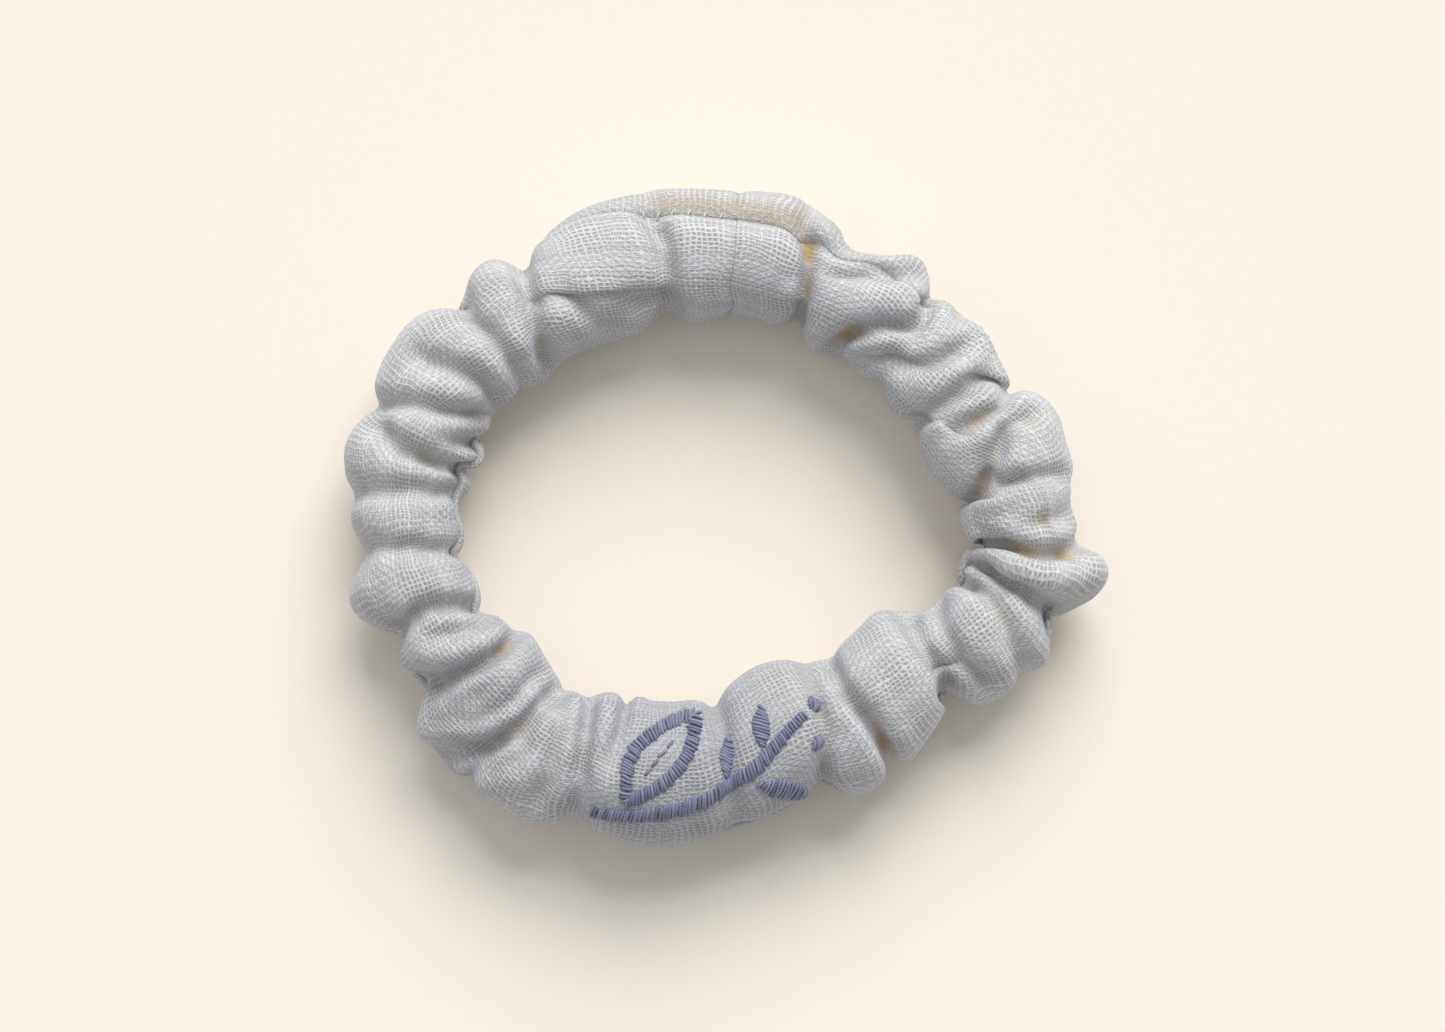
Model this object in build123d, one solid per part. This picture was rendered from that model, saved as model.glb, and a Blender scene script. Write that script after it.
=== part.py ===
"""A narrow scrunchie: a tube of double gauze gathered on a loop of braided elastic, with a small
embroidered sprig. It lies flat, with +Z up, +X along its longer side, and its origin at the middle
of its footprint on the surface it rests on. Lengths are millimetres.

The loop stretches along X. Everything left of SPLIT_X stays, and everything right of it moves, so
each piece that runs all the way round is cut there into a left and a right solid.
"""

import os
from math import cos, hypot, radians, sin, tan

from build123d import *

# --- Driving dimensions ---------------------------------------------------------------------
HALF_LENGTH = 35.0  # of the tube's centreline, along X
HALF_WIDTH = 29.05  # of the tube's centreline, along Y
TUBE_RADIUS = 7.2  # of the gathered tube
TUBE_FLAT = 0.35  # how far the tube flattens where it rests
PLY = 0.35  # one gauze ply
PLY_GAP = 0.05  # between the two plies of the double gauze
SPLIT_X = 12.6  # where the loop parts into its left and right halves
SEAM_X = 1.4  # of the end seam, which joins the tube's two ends

# The centreline's outline: a polygon, counter-clockwise from the top right, whose corners are
# rounded as far as their sides allow.
OUTLINE = [
    (11.3, HALF_WIDTH),
    (-10.6, HALF_WIDTH),
    (-HALF_LENGTH, 11.55),
    (-HALF_LENGTH, -10.25),
    (-13.8, -HALF_WIDTH),
    (-0.25, -HALF_WIDTH),
    (HALF_LENGTH, -8.85),
    (HALF_LENGTH, 2.85),
]
ROUNDING = 0.49  # the share of a side that one corner's arc may take

# Seams
SEAM_ALLOWANCE = 2.9  # of the long seam, turned inside
SEAM_SLIT = 0.04  # between the two edges that a seam joins
END_ALLOWANCE_HOLE = 4.3  # the radius left open inside the end seam's allowance
THREAD_R = 0.12  # sewing thread
STITCH_DEPTH = 0.75  # from the seam to its line of stitches
CLOSING_COUNT = 8  # slip stitches over the turning gap
CLOSING_PITCH = 1.5
CLOSING_STITCH = 1.3  # length of one, across the seam

# Elastic: a flat braid over rubber strands, its ends lapped and sewn
ELASTIC_WIDTH = 5.0
ELASTIC_THICK = 1.2
ELASTIC_INSET = 2.2  # from the tube's centreline towards the middle of the loop
ELASTIC_EASE = 0.22  # rounding share at the corners beside the lap, which stays straight
LAP = 12.0  # length of the lap
LAP_GAP = 0.12  # between the lapped ends
STRANDS = 8
STRAND_R = 0.24
STRAND_ROOM = 0.02  # between a strand and the braid around it

# Embroidery
STITCH_HEIGHT = 0.42  # satin stitch stands this proud of the face ply
BOBBIN_HEIGHT = 0.14  # its thread on the wrong side
BACKING = 0.16  # cut-away backing under the stitches
CLEAR = 0.03  # between stitches and the cloth they lie on

TUBE_Z = TUBE_RADIUS - TUBE_FLAT
LINING_RADIUS = TUBE_RADIUS - PLY - PLY_GAP
ROOM_RADIUS = LINING_RADIUS - PLY  # inside both plies
BIG = 120.0


# --- Path and sections ----------------------------------------------------------------------
def outward(a, b):
    """The outward normal of one side of a counter-clockwise polygon."""
    length = hypot(b[0] - a[0], b[1] - a[1])
    return (b[1] - a[1]) / length, (a[0] - b[0]) / length


def offset_corner(i, distance):
    """Corner i of OUTLINE, moved outward so that both its sides move by that distance."""
    before, here, after = OUTLINE[i - 1], OUTLINE[i], OUTLINE[(i + 1) % len(OUTLINE)]
    n, m = outward(before, here), outward(here, after)
    share = distance / (1 + n[0] * m[0] + n[1] * m[1])
    return here[0] + share * (n[0] + m[0]), here[1] + share * (n[1] + m[1])


def corner_radius(before, here, after, rounding):
    """The arc radius whose tangents take that share of the corner's shorter side."""
    u = Vector(here[0] - before[0], here[1] - before[1])
    v = Vector(after[0] - here[0], after[1] - here[1])
    return rounding * min(u.length, v.length) / tan(radians(u.get_angle(v)) / 2)


def tube_path():
    """The tube's closed centreline, of tangent arcs."""
    n = len(OUTLINE)
    radii = [corner_radius(OUTLINE[i - 1], OUTLINE[i], OUTLINE[(i + 1) % n], ROUNDING) for i in range(n)]
    corners = [(x, y, TUBE_Z) for x, y in OUTLINE]
    return Wire(FilletPolyline(*corners, radius=radii, close=True).edges())


def elastic_path():
    """The elastic's centreline: once round the loop, with its end lapped outside its start."""
    step = ELASTIC_THICK + LAP_GAP
    n = len(OUTLINE)
    inner, outer = -ELASTIC_INSET, -ELASTIC_INSET + step
    points = [(SEAM_X + LAP / 2, HALF_WIDTH + inner)]
    points += [offset_corner((i + 1) % n, inner + step * i / n) for i in range(n - 1)]
    points += [offset_corner(0, outer), (SEAM_X - LAP / 2, HALF_WIDTH + outer)]
    rounding = [ELASTIC_EASE] + [ROUNDING] * (n - 2) + [ELASTIC_EASE]
    radii = [
        corner_radius(points[i], points[i + 1], points[i + 2], rounding[i]) for i in range(n)
    ]
    return Wire(FilletPolyline(*[(x, y, TUBE_Z) for x, y in points], radius=radii).edges())


def swept(section, path):
    """The section, whose local +X is outward and +Y is up, carried along a path."""
    along = path % 0
    plane = Plane(origin=path @ 0, x_dir=(along.Y, -along.X, 0), z_dir=-along)
    return Part() + sweep(plane * section, path=path)


def flattened_disc(radius):
    """A tube's section of that outer radius, flat where it rests."""
    floor = TUBE_Z - (TUBE_RADIUS - radius)
    return Circle(radius) & Pos(0, BIG / 2 - floor) * Rectangle(BIG, BIG)


def ply_section(radius, flap_low, flap_high, slot):
    """One ply: a ring with two flaps turned inward at the long seam, on the loop's outer side."""
    ring = flattened_disc(radius) - flattened_disc(radius - PLY)
    ring -= Pos(radius, 0) * Rectangle(4 * PLY, 2 * slot)
    reach = radius - PLY / 2
    start = ROOM_RADIUS - SEAM_ALLOWANCE
    middle, height = (flap_low + flap_high) / 2, flap_high - flap_low
    flap = Pos((start + reach) / 2, middle) * Rectangle(reach - start, height)
    return ring + flap + mirror(flap, Plane.XZ)


def halves(part):
    """A part's left and right halves, either side of SPLIT_X."""
    half = Box(BIG, BIG, BIG)
    return part & Pos(SPLIT_X - BIG / 2, 0) * half, part & Pos(SPLIT_X + BIG / 2, 0) * half


def across(x_low, x_high):
    """A slab of space between two X values, round the tube at the end seam."""
    side = 3 * TUBE_RADIUS
    return Pos((x_low + x_high) / 2, HALF_WIDTH, TUBE_Z) * Box(x_high - x_low, side, side)


def end_flange(radius, near, far):
    """One ply's two allowances at the end seam: rings turned inward, each side of the seam."""
    face = flattened_disc(radius) - Circle(END_ALLOWANCE_HOLE)
    at = Pos(SEAM_X, HALF_WIDTH, TUBE_Z) * Rot(90, 0, 90)
    ring = extrude(at * face, amount=far) - extrude(at * face, amount=near)
    return ring + mirror(ring, Plane.YZ.offset(SEAM_X))


# --- Cover ----------------------------------------------------------------------------------
def cover_plies(path):
    """The face and lining plies of the double gauze, seamed into a closed tube."""
    half_slit = SEAM_SLIT / 2
    face_flap = (half_slit, half_slit + PLY)
    lining_flap = (face_flap[1] + PLY_GAP / 2, face_flap[1] + PLY_GAP / 2 + PLY)
    face = swept(ply_section(TUBE_RADIUS, *face_flap, half_slit), path)
    lining = swept(ply_section(LINING_RADIUS, *lining_flap, lining_flap[0]), path)
    face -= across(SEAM_X - half_slit, SEAM_X + half_slit)
    face += end_flange(TUBE_RADIUS - PLY / 2, *face_flap)
    lining -= across(SEAM_X - lining_flap[0], SEAM_X + lining_flap[0])
    lining += end_flange(LINING_RADIUS - PLY / 2, *lining_flap) - face
    return face, lining


def long_seam_threads(path):
    """The long seam's needle and bobbin threads, one each side of its allowances."""
    depth = ROOM_RADIUS - STITCH_DEPTH
    side = SEAM_SLIT / 2 + 2 * PLY + PLY_GAP / 2 + THREAD_R + CLEAR
    threads = Part()
    for z in (-side, side):
        threads += swept(Pos(depth, z) * Circle(THREAD_R), path)
    return threads - across(SEAM_X - 2 * side, SEAM_X + 2 * side)


def end_seam_thread():
    """The end seam's two threads, round its allowances."""
    side = SEAM_SLIT / 2 + 2 * PLY + PLY_GAP / 2 + THREAD_R + CLEAR
    rings = Part()
    for x in (-side, side):
        rings += Pos(SEAM_X + x, HALF_WIDTH, TUBE_Z) * Rot(0, 90, 0) * Torus(
            ROOM_RADIUS - STITCH_DEPTH, THREAD_R
        )
    flaps = Pos(SEAM_X, HALF_WIDTH + ROOM_RADIUS, TUBE_Z) * Box(BIG / 8, ROOM_RADIUS, 2 * side)
    return rings - flaps


def closing_thread(path):
    """Slip stitches across the long seam, which close the gap the tube was turned through."""
    middle = TUBE_RADIUS + CLEAR + THREAD_R
    band = swept(Pos(middle, 0) * Rectangle(2 * THREAD_R, CLOSING_STITCH), path)
    slots = Part()
    for i in range(CLOSING_COUNT):
        x = SEAM_X - CLOSING_PITCH * (i + 1)
        slots += Pos(x, HALF_WIDTH + TUBE_RADIUS, TUBE_Z) * Box(2 * THREAD_R, TUBE_RADIUS, TUBE_RADIUS)
    return band & slots


# --- Elastic --------------------------------------------------------------------------------
def strand_heights():
    pitch = (ELASTIC_WIDTH - 2 * STRAND_R) / STRANDS
    return [(i - (STRANDS - 1) / 2) * pitch for i in range(STRANDS)]


def elastic_jacket(path):
    """The braid, with a channel for each rubber strand."""
    section = RectangleRounded(ELASTIC_THICK, ELASTIC_WIDTH, 0.45 * ELASTIC_THICK)
    for z in strand_heights():
        section -= Pos(0, z) * Circle(STRAND_R + STRAND_ROOM)
    return swept(section, path)


def elastic_cores(path):
    """The rubber strands inside the braid."""
    strands = Part()
    for z in strand_heights():
        strands += swept(Pos(0, z) * Circle(STRAND_R), path)
    return strands


def elastic_join_thread():
    """Zigzag stitches on both faces of the elastic's lap."""
    pitch, reach, bend = 1.5, 1.9, 0.3
    zigs = int(LAP / pitch) - 1
    step = ELASTIC_THICK + LAP_GAP
    near = HALF_WIDTH - ELASTIC_INSET - ELASTIC_THICK / 2 - THREAD_R - CLEAR
    far = HALF_WIDTH - ELASTIC_INSET + step + ELASTIC_THICK / 2 + THREAD_R + CLEAR
    threads = Part()
    for y in (near, far):
        points = [
            (SEAM_X + (i - zigs / 2) * pitch, y, TUBE_Z + (reach if i % 2 else -reach))
            for i in range(zigs + 1)
        ]
        line = Wire(FilletPolyline(*points, radius=bend).edges())
        threads += sweep(Plane(origin=line @ 0, z_dir=line % 0) * Circle(THREAD_R), path=line)
    return threads


# --- Embroidery -----------------------------------------------------------------------------
def leaf(base, tip, bulge):
    """A pointed leaf between two points, that wide either side of its middle."""
    mid = ((base[0] + tip[0]) / 2, (base[1] + tip[1]) / 2)
    n = outward(base, tip)
    sides = [
        ThreePointArc(base, (mid[0] + s * n[0], mid[1] + s * n[1]), tip) for s in (bulge, -bulge)
    ]
    return make_face(sides)


STEM = [(-14.2, -32.4), (-8.4, -33.2), (-1.4, -31.4), (4.2, -27.8), (8.6, -22.4)]
STEM_WIDTH = 1.3
LARGE_LEAF = ((-10.4, -31.3), (-3.4, -22.2), 3.2)
OUTLINE_WIDTH = 1.5  # of the large leaf's satin outline
VEIN_WIDTH = 0.5
SMALL_LEAVES = [
    ((0.2, -29.3), (0.6, -24.0), 1.15),
    ((3.9, -29.2), (9.4, -30.2), 1.15),
    ((4.2, -26.0), (4.0, -21.2), 1.1),
]
BUDS = [((9.6, -20.6), 0.95), ((10.3, -25.6), 0.85)]
PATCH = Pos(-2.2, -27.6) * Rot(0, 0, 20)  # of the backing
PATCH_SIZE = (25.0, 10.0)


def stem_shape():
    """The stem's band of satin stitch, in plan."""
    line = FilletPolyline(*STEM, radius=5.0)
    return trace(line.edges(), line_width=STEM_WIDTH)


def large_leaf_shape():
    base, tip, bulge = LARGE_LEAF
    share = OUTLINE_WIDTH / hypot(tip[0] - base[0], tip[1] - base[1]) * 1.25
    low = tuple(b + (t - b) * share for b, t in zip(base, tip))
    high = tuple(t + (b - t) * share for b, t in zip(base, tip))
    return leaf(base, tip, bulge) - leaf(low, high, bulge - OUTLINE_WIDTH)


def vein_shape():
    """A straight line of stitches up the middle of the large leaf."""
    base, tip, _ = LARGE_LEAF
    low, high = (tuple(b + (t - b) * s for b, t in zip(base, tip)) for s in (0.27, 0.72))
    return trace([Line(low, high)], line_width=VEIN_WIDTH)


def on_tube(shape, path, low, high, floor=0.0):
    """A plan shape as a thin pad on the tube's upper side, between two radii and above a floor."""
    shell = swept(Circle(high) - Circle(low), path)
    return shell & extrude(Pos(0, 0, TUBE_Z + floor) * shape, amount=TUBE_RADIUS + 1)


def embroidery_shapes():
    """Every stitched shape in plan, by name."""
    shapes = {"stem": stem_shape(), "large_leaf": large_leaf_shape(), "leaf_vein": vein_shape()}
    for i, (base, tip, bulge) in enumerate(SMALL_LEAVES, 1):
        shapes[f"small_leaf_{i}"] = leaf(base, tip, bulge)
    for i, (centre, radius) in enumerate(BUDS, 1):
        shapes[f"bud_{i}"] = Pos(*centre) * Circle(radius)
    return shapes


def embroidery(path):
    """The stitched shapes on the face, and what backs them on the wrong side."""
    shapes = embroidery_shapes()
    made = {
        f"embroidery_{name}": on_tube(shape, path, TUBE_RADIUS + CLEAR, TUBE_RADIUS + STITCH_HEIGHT)
        for name, shape in shapes.items()
    }
    every = Sketch() + list(shapes.values())
    top = ROOM_RADIUS - CLEAR
    under = top - BACKING
    above_seam = 1.2
    made["embroidery_backing"] = on_tube(
        PATCH * Rectangle(*PATCH_SIZE), path, under, top, above_seam
    )
    made["embroidery_bobbin_thread"] = on_tube(
        every, path, under - CLEAR - BOBBIN_HEIGHT, under - CLEAR, above_seam
    )
    return made


# --- The whole scrunchie --------------------------------------------------------------------
def all_nodes():
    path, band = tube_path(), elastic_path()
    face, lining = cover_plies(path)
    nodes = {}
    whole = {
        "cover_face": face,
        "cover_lining": lining,
        "long_seam_thread": long_seam_threads(path),
        "elastic_jacket": elastic_jacket(band),
        "elastic_cores": elastic_cores(band),
    }
    for name, part in whole.items():
        nodes[f"{name}_left"], nodes[f"{name}_right"] = halves(part)
    nodes["end_seam_thread"] = end_seam_thread()
    nodes["closing_thread"] = closing_thread(path)
    nodes["elastic_join_thread"] = elastic_join_thread()
    nodes.update(embroidery(path))
    return nodes


os.makedirs("parts", exist_ok=True)
for node, part in all_nodes().items():
    solids = part.solids()
    export_step(Compound(children=solids) if len(solids) > 1 else solids[0], f"parts/{node}.step")
    print(node, len(solids), "solids", round(sum(s.volume for s in solids), 1), "mm3")
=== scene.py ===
"""The scrunchie's looks: a double-gauze cover simulated as gathered cloth on its loop, its satin-stitch
sprig, seams, thread and elastic. Cloth is worked out in millimetres and written to meshes in metres."""

import math

import bpy
import numpy as np
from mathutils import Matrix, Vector, kdtree


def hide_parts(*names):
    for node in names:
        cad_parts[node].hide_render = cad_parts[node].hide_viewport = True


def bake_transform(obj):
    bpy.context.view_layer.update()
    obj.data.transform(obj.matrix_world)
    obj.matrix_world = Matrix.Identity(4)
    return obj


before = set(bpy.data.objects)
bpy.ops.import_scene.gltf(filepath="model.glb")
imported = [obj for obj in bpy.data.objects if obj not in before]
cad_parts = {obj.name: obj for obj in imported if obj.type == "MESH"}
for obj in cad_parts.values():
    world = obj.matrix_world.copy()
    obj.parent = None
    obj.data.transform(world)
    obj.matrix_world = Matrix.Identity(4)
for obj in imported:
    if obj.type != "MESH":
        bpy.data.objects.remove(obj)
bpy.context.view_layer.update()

MM = 0.001

# --- The loop, as the frame has it -----------------------------------------------------------
HALF_LENGTH, HALF_WIDTH = 35.0, 29.05  # of the tube's centreline
OUTLINE = [
    (11.3, HALF_WIDTH), (-10.6, HALF_WIDTH), (-HALF_LENGTH, 11.55), (-HALF_LENGTH, -10.25),
    (-13.8, -HALF_WIDTH), (-0.25, -HALF_WIDTH), (HALF_LENGTH, -8.85), (HALF_LENGTH, 2.85),
]
ROUNDING = 0.49  # the share of a side that one corner's arc may take
TUBE_Z = 6.85
TUBE_UP, TUBE_DOWN = 7.0, 6.5  # from there to the cloth's top and underside
SEAM_X = 1.4  # where the end seam crosses the top of the loop

# --- The cloth --------------------------------------------------------------------------------
COLUMNS, ROWS = 480, 56  # of the simulated grid, along the loop and round the tube
STEPS, QUICK_STEPS = 400, 60
GROWN, SETTLING = 0.62, 0.72  # shares of the steps when the cloth is full length, and when it settles
START_INSET = 0.8  # of the smooth tube that it starts as, from its outline
START_NOISE = 0.03  # how uneven that tube is
GIRTH = 48.5  # of the tube, round its cloth
FULLNESS = 0.42  # of the gathers below
EASE = 0.17  # how much more cloth the outer side of the loop takes, and less the inner side
STIFFNESS, ROUND_STIFFNESS = 0.35, 0.7  # along the tube, and round it as a share of that
PRESSURE = 0.006
PRESSURE_LOST, PUSH_LOST = 0.5, 0.8  # the shares of the pressure and the push that go as the cloth settles
WEIGHT = 0.0006
DAMPING = 0.9
PULLS, LOCATE_EVERY, TOUCH_EVERY = 4, 4, 3  # pulls in a step, and steps between searches
PULL, SHEAR = 0.45, 0.05  # the share of its stretch that a side, and a diagonal, of the grid takes back
MOST_STEP, MOST_SPEED = 0.22, 0.3  # by which a point may move in one step, before and after the pulls
PUSH = 0.3  # the share of what stands outside the outline that is pushed back
PARTED, MOST_PARTED = 0.35, 0.3  # the share of a lacking gap that a point moves, and the most it moves
GROUND = 0.4  # the lowest that the double cloth's middle lies
PLY = 0.28  # one gauze ply
PLY_OFFSET = 0.19  # of each ply's middle from the double cloth's
CLOTH_TOP = PLY_OFFSET + PLY / 2  # of the face's outer side, likewise
ALLOWANCE = 2.9  # of the seams
FLAP_DEPTHS = [0.35, 0.8, 1.5, 2.2, ALLOWANCE]  # of an allowance's rows of points behind its seam
FLAP_LEANS = [0.7, 1.0, 1.0, 1.05, 1.1]  # of those rows to their own side of the seam, as shares
POKING, PINCHED = -0.3, 0.04  # the height at which a row pokes out, and the row spacing it then gets
OUTLINE_INSET = 0.35  # of the double cloth's middle
SWELL = 0.45  # how far the cloth's edges stand outside its simulated outline
FILL = 0.965  # the share of its outline that it fills, away from valleys and ridges
HOLD = 0.12  # how firmly the cloth keeps to its outline and valleys
SLIDE = 0.015  # how firmly it keeps to its place along the loop
TWIST = 0.006  # how firmly it keeps from turning round the tube
VALLEY = 1.6  # half the width of a lower crease's valley
DEEP = 1.6  # how much deeper the upper side's valleys are set than they come out
CRISP = 0.5  # the share of their depth that the finished cloth's valleys are pressed in further
CRISP_MOST = 1.1  # and the most that takes
PRESSES = 8  # how many times they are pressed
SMOOTHED = 0.3  # the share of its sharpest bends that each press takes back
CLOTH_GAP = 0.78  # between the middles of two layers of double cloth that touch
TOUCH_REACH = CLOTH_GAP * 1.2  # within which they are looked for
INSIDE = 0.6  # how deep under the double cloth's middle the hidden threads and allowances lie
MOST_INWARD = 0.6  # the most that they are moved inward at once

LONG_DIP, END_DIP, DIP_REACH = 0.5, 0.25, 0.6  # how far the cloth draws in at its seams, and how wide

# --- Stitches and elastic, as the CAD part has them ---------------------------------------------
SATIN_R, SEWING_R, BOBBIN_R, CLOSING_R = 0.185, 0.12, 0.07, 0.1  # of the threads
SEAM_OUT, SEAM_DEPTH = 0.85, 1.2  # of the seams' stitches, from the seam and under the cloth
SEAM_WAVE = 0.05  # by which they rise and fall
STRAY, SINK = 0.07, 0.22  # how far a satin stitch's ends stray, and sink into the cloth
CLOSING_SLANT, CLOSING_SINK, CLOSING_RISE = 0.3, 0.3, 0.25  # along the seam, at the ends, from there up
STITCH_PITCH = 0.36  # between satin stitches
STEM = [(-14.2, -32.4), (-8.4, -33.2), (-1.4, -31.4), (4.2, -27.8), (8.6, -22.4)]
STEM_WIDTH = 1.5
LARGE_LEAF = ((-10.4, -31.3), (-3.4, -22.2), 3.2)
LEAF_OUTLINE = 1.5  # width of its satin outline
VEIN_SPAN = (0.27, 0.72)  # shares of the leaf's axis
SMALL_LEAVES = [
    ((0.2, -29.3), (0.6, -24.0), 1.15),
    ((3.9, -29.2), (9.4, -30.2), 1.15),
    ((4.2, -26.0), (4.0, -21.2), 1.1),
]
BUDS = [((9.6, -20.6), 0.95), ((10.3, -25.6), 0.85)]
PATCH_CENTRE, PATCH_SIZE, PATCH_THICK = (-2.2, -27.6), (25.0, 10.0), 0.16  # of the backing
PATCH_TURN = 20  # degrees
PATCH_DEPTH, BOBBIN_DEPTH = 1.2, 1.5  # of the backing and the bobbin's thread under the cloth
CLOSING_COUNT, CLOSING_PITCH, CLOSING_STITCH = 8, 1.5, 1.3
ELASTIC_WIDTH, ELASTIC_THICK, ELASTIC_INSET = 5.0, 1.2, 2.2
LAP, LAP_GAP = 12.0, 0.12
LAP_STEP = ELASTIC_THICK + LAP_GAP
ELASTIC_POINTS, ELASTIC_SIDES, SQUARENESS = 420, 24, 0.45  # along it, round it, and of its rounded section
ZIG_PITCH, ZIG_REACH, ZIG_OFF = 1.5, 1.9, 0.13  # of the lap's zigzag: its pitch, half width, and height
STRANDS, STRAND_R = 8, 0.24

# Where the lower side's folds cross the tube, counter-clockwise from the end seam: inner end, outer end,
# depth
CREASES = [
    ((-6, 22.6), (-10, 35.5), 1.1), ((-17.5, 17.5), (-22.5, 28.8), 1.8), ((-22.8, 14), (-30, 23.4), 2.5),
    ((-25.2, 11.8), (-34.5, 20), 1), ((-26.4, 9), (-38.6, 12.2), 1.8), ((-27.4, 5), (-40.4, 9.6), 2),
    ((-29.5, 0.4), (-41.2, 2), 1.1), ((-28.8, -4.5), (-39.6, -4.7), 1.8),
    ((-26.2, -10.2), (-35.3, -13.8), 2.2), ((-23.4, -12.4), (-35.2, -16.6), 2),
    ((-20.4, -15), (-33.2, -20.6), 2.1), ((-19, -17.4), (-33.6, -25), 1.8),
    ((-17.6, -18.9), (-27.6, -30.4), 1.7), ((-15.6, -19), (-17, -34), 1.8),
    ((-11, -19.8), (-14.6, -34.6), 1.7), ((-1.2, -20.4), (1, -35), 1), ((9.4, -15.3), (10.8, -30.1), 2),
    ((12.6, -14.8), (19.6, -29), 2.4), ((15.2, -12.4), (22.8, -24.6), 1.7),
    ((22, -10.4), (25.2, -20.2), 2.4), ((24.4, -8.6), (33, -19), 1.8), ((25.8, -6.6), (35.2, -12), 2.2),
    ((26.6, -3.4), (39.4, -2.6), 3.1), ((26.2, 1.2), (38.4, 2.4), 1.5), ((24, 3.6), (34.6, 13.2), 1.7),
    ((21.6, 7.6), (31.8, 14.6), 1.5), ((20, 10.8), (28.8, 18.6), 2), ((18.2, 14.6), (26, 22.4), 2.1),
    ((13.2, 16.9), (23.6, 25.4), 2.4), ((7.8, 20.6), (14.6, 28.9), 2.8),
]
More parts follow.
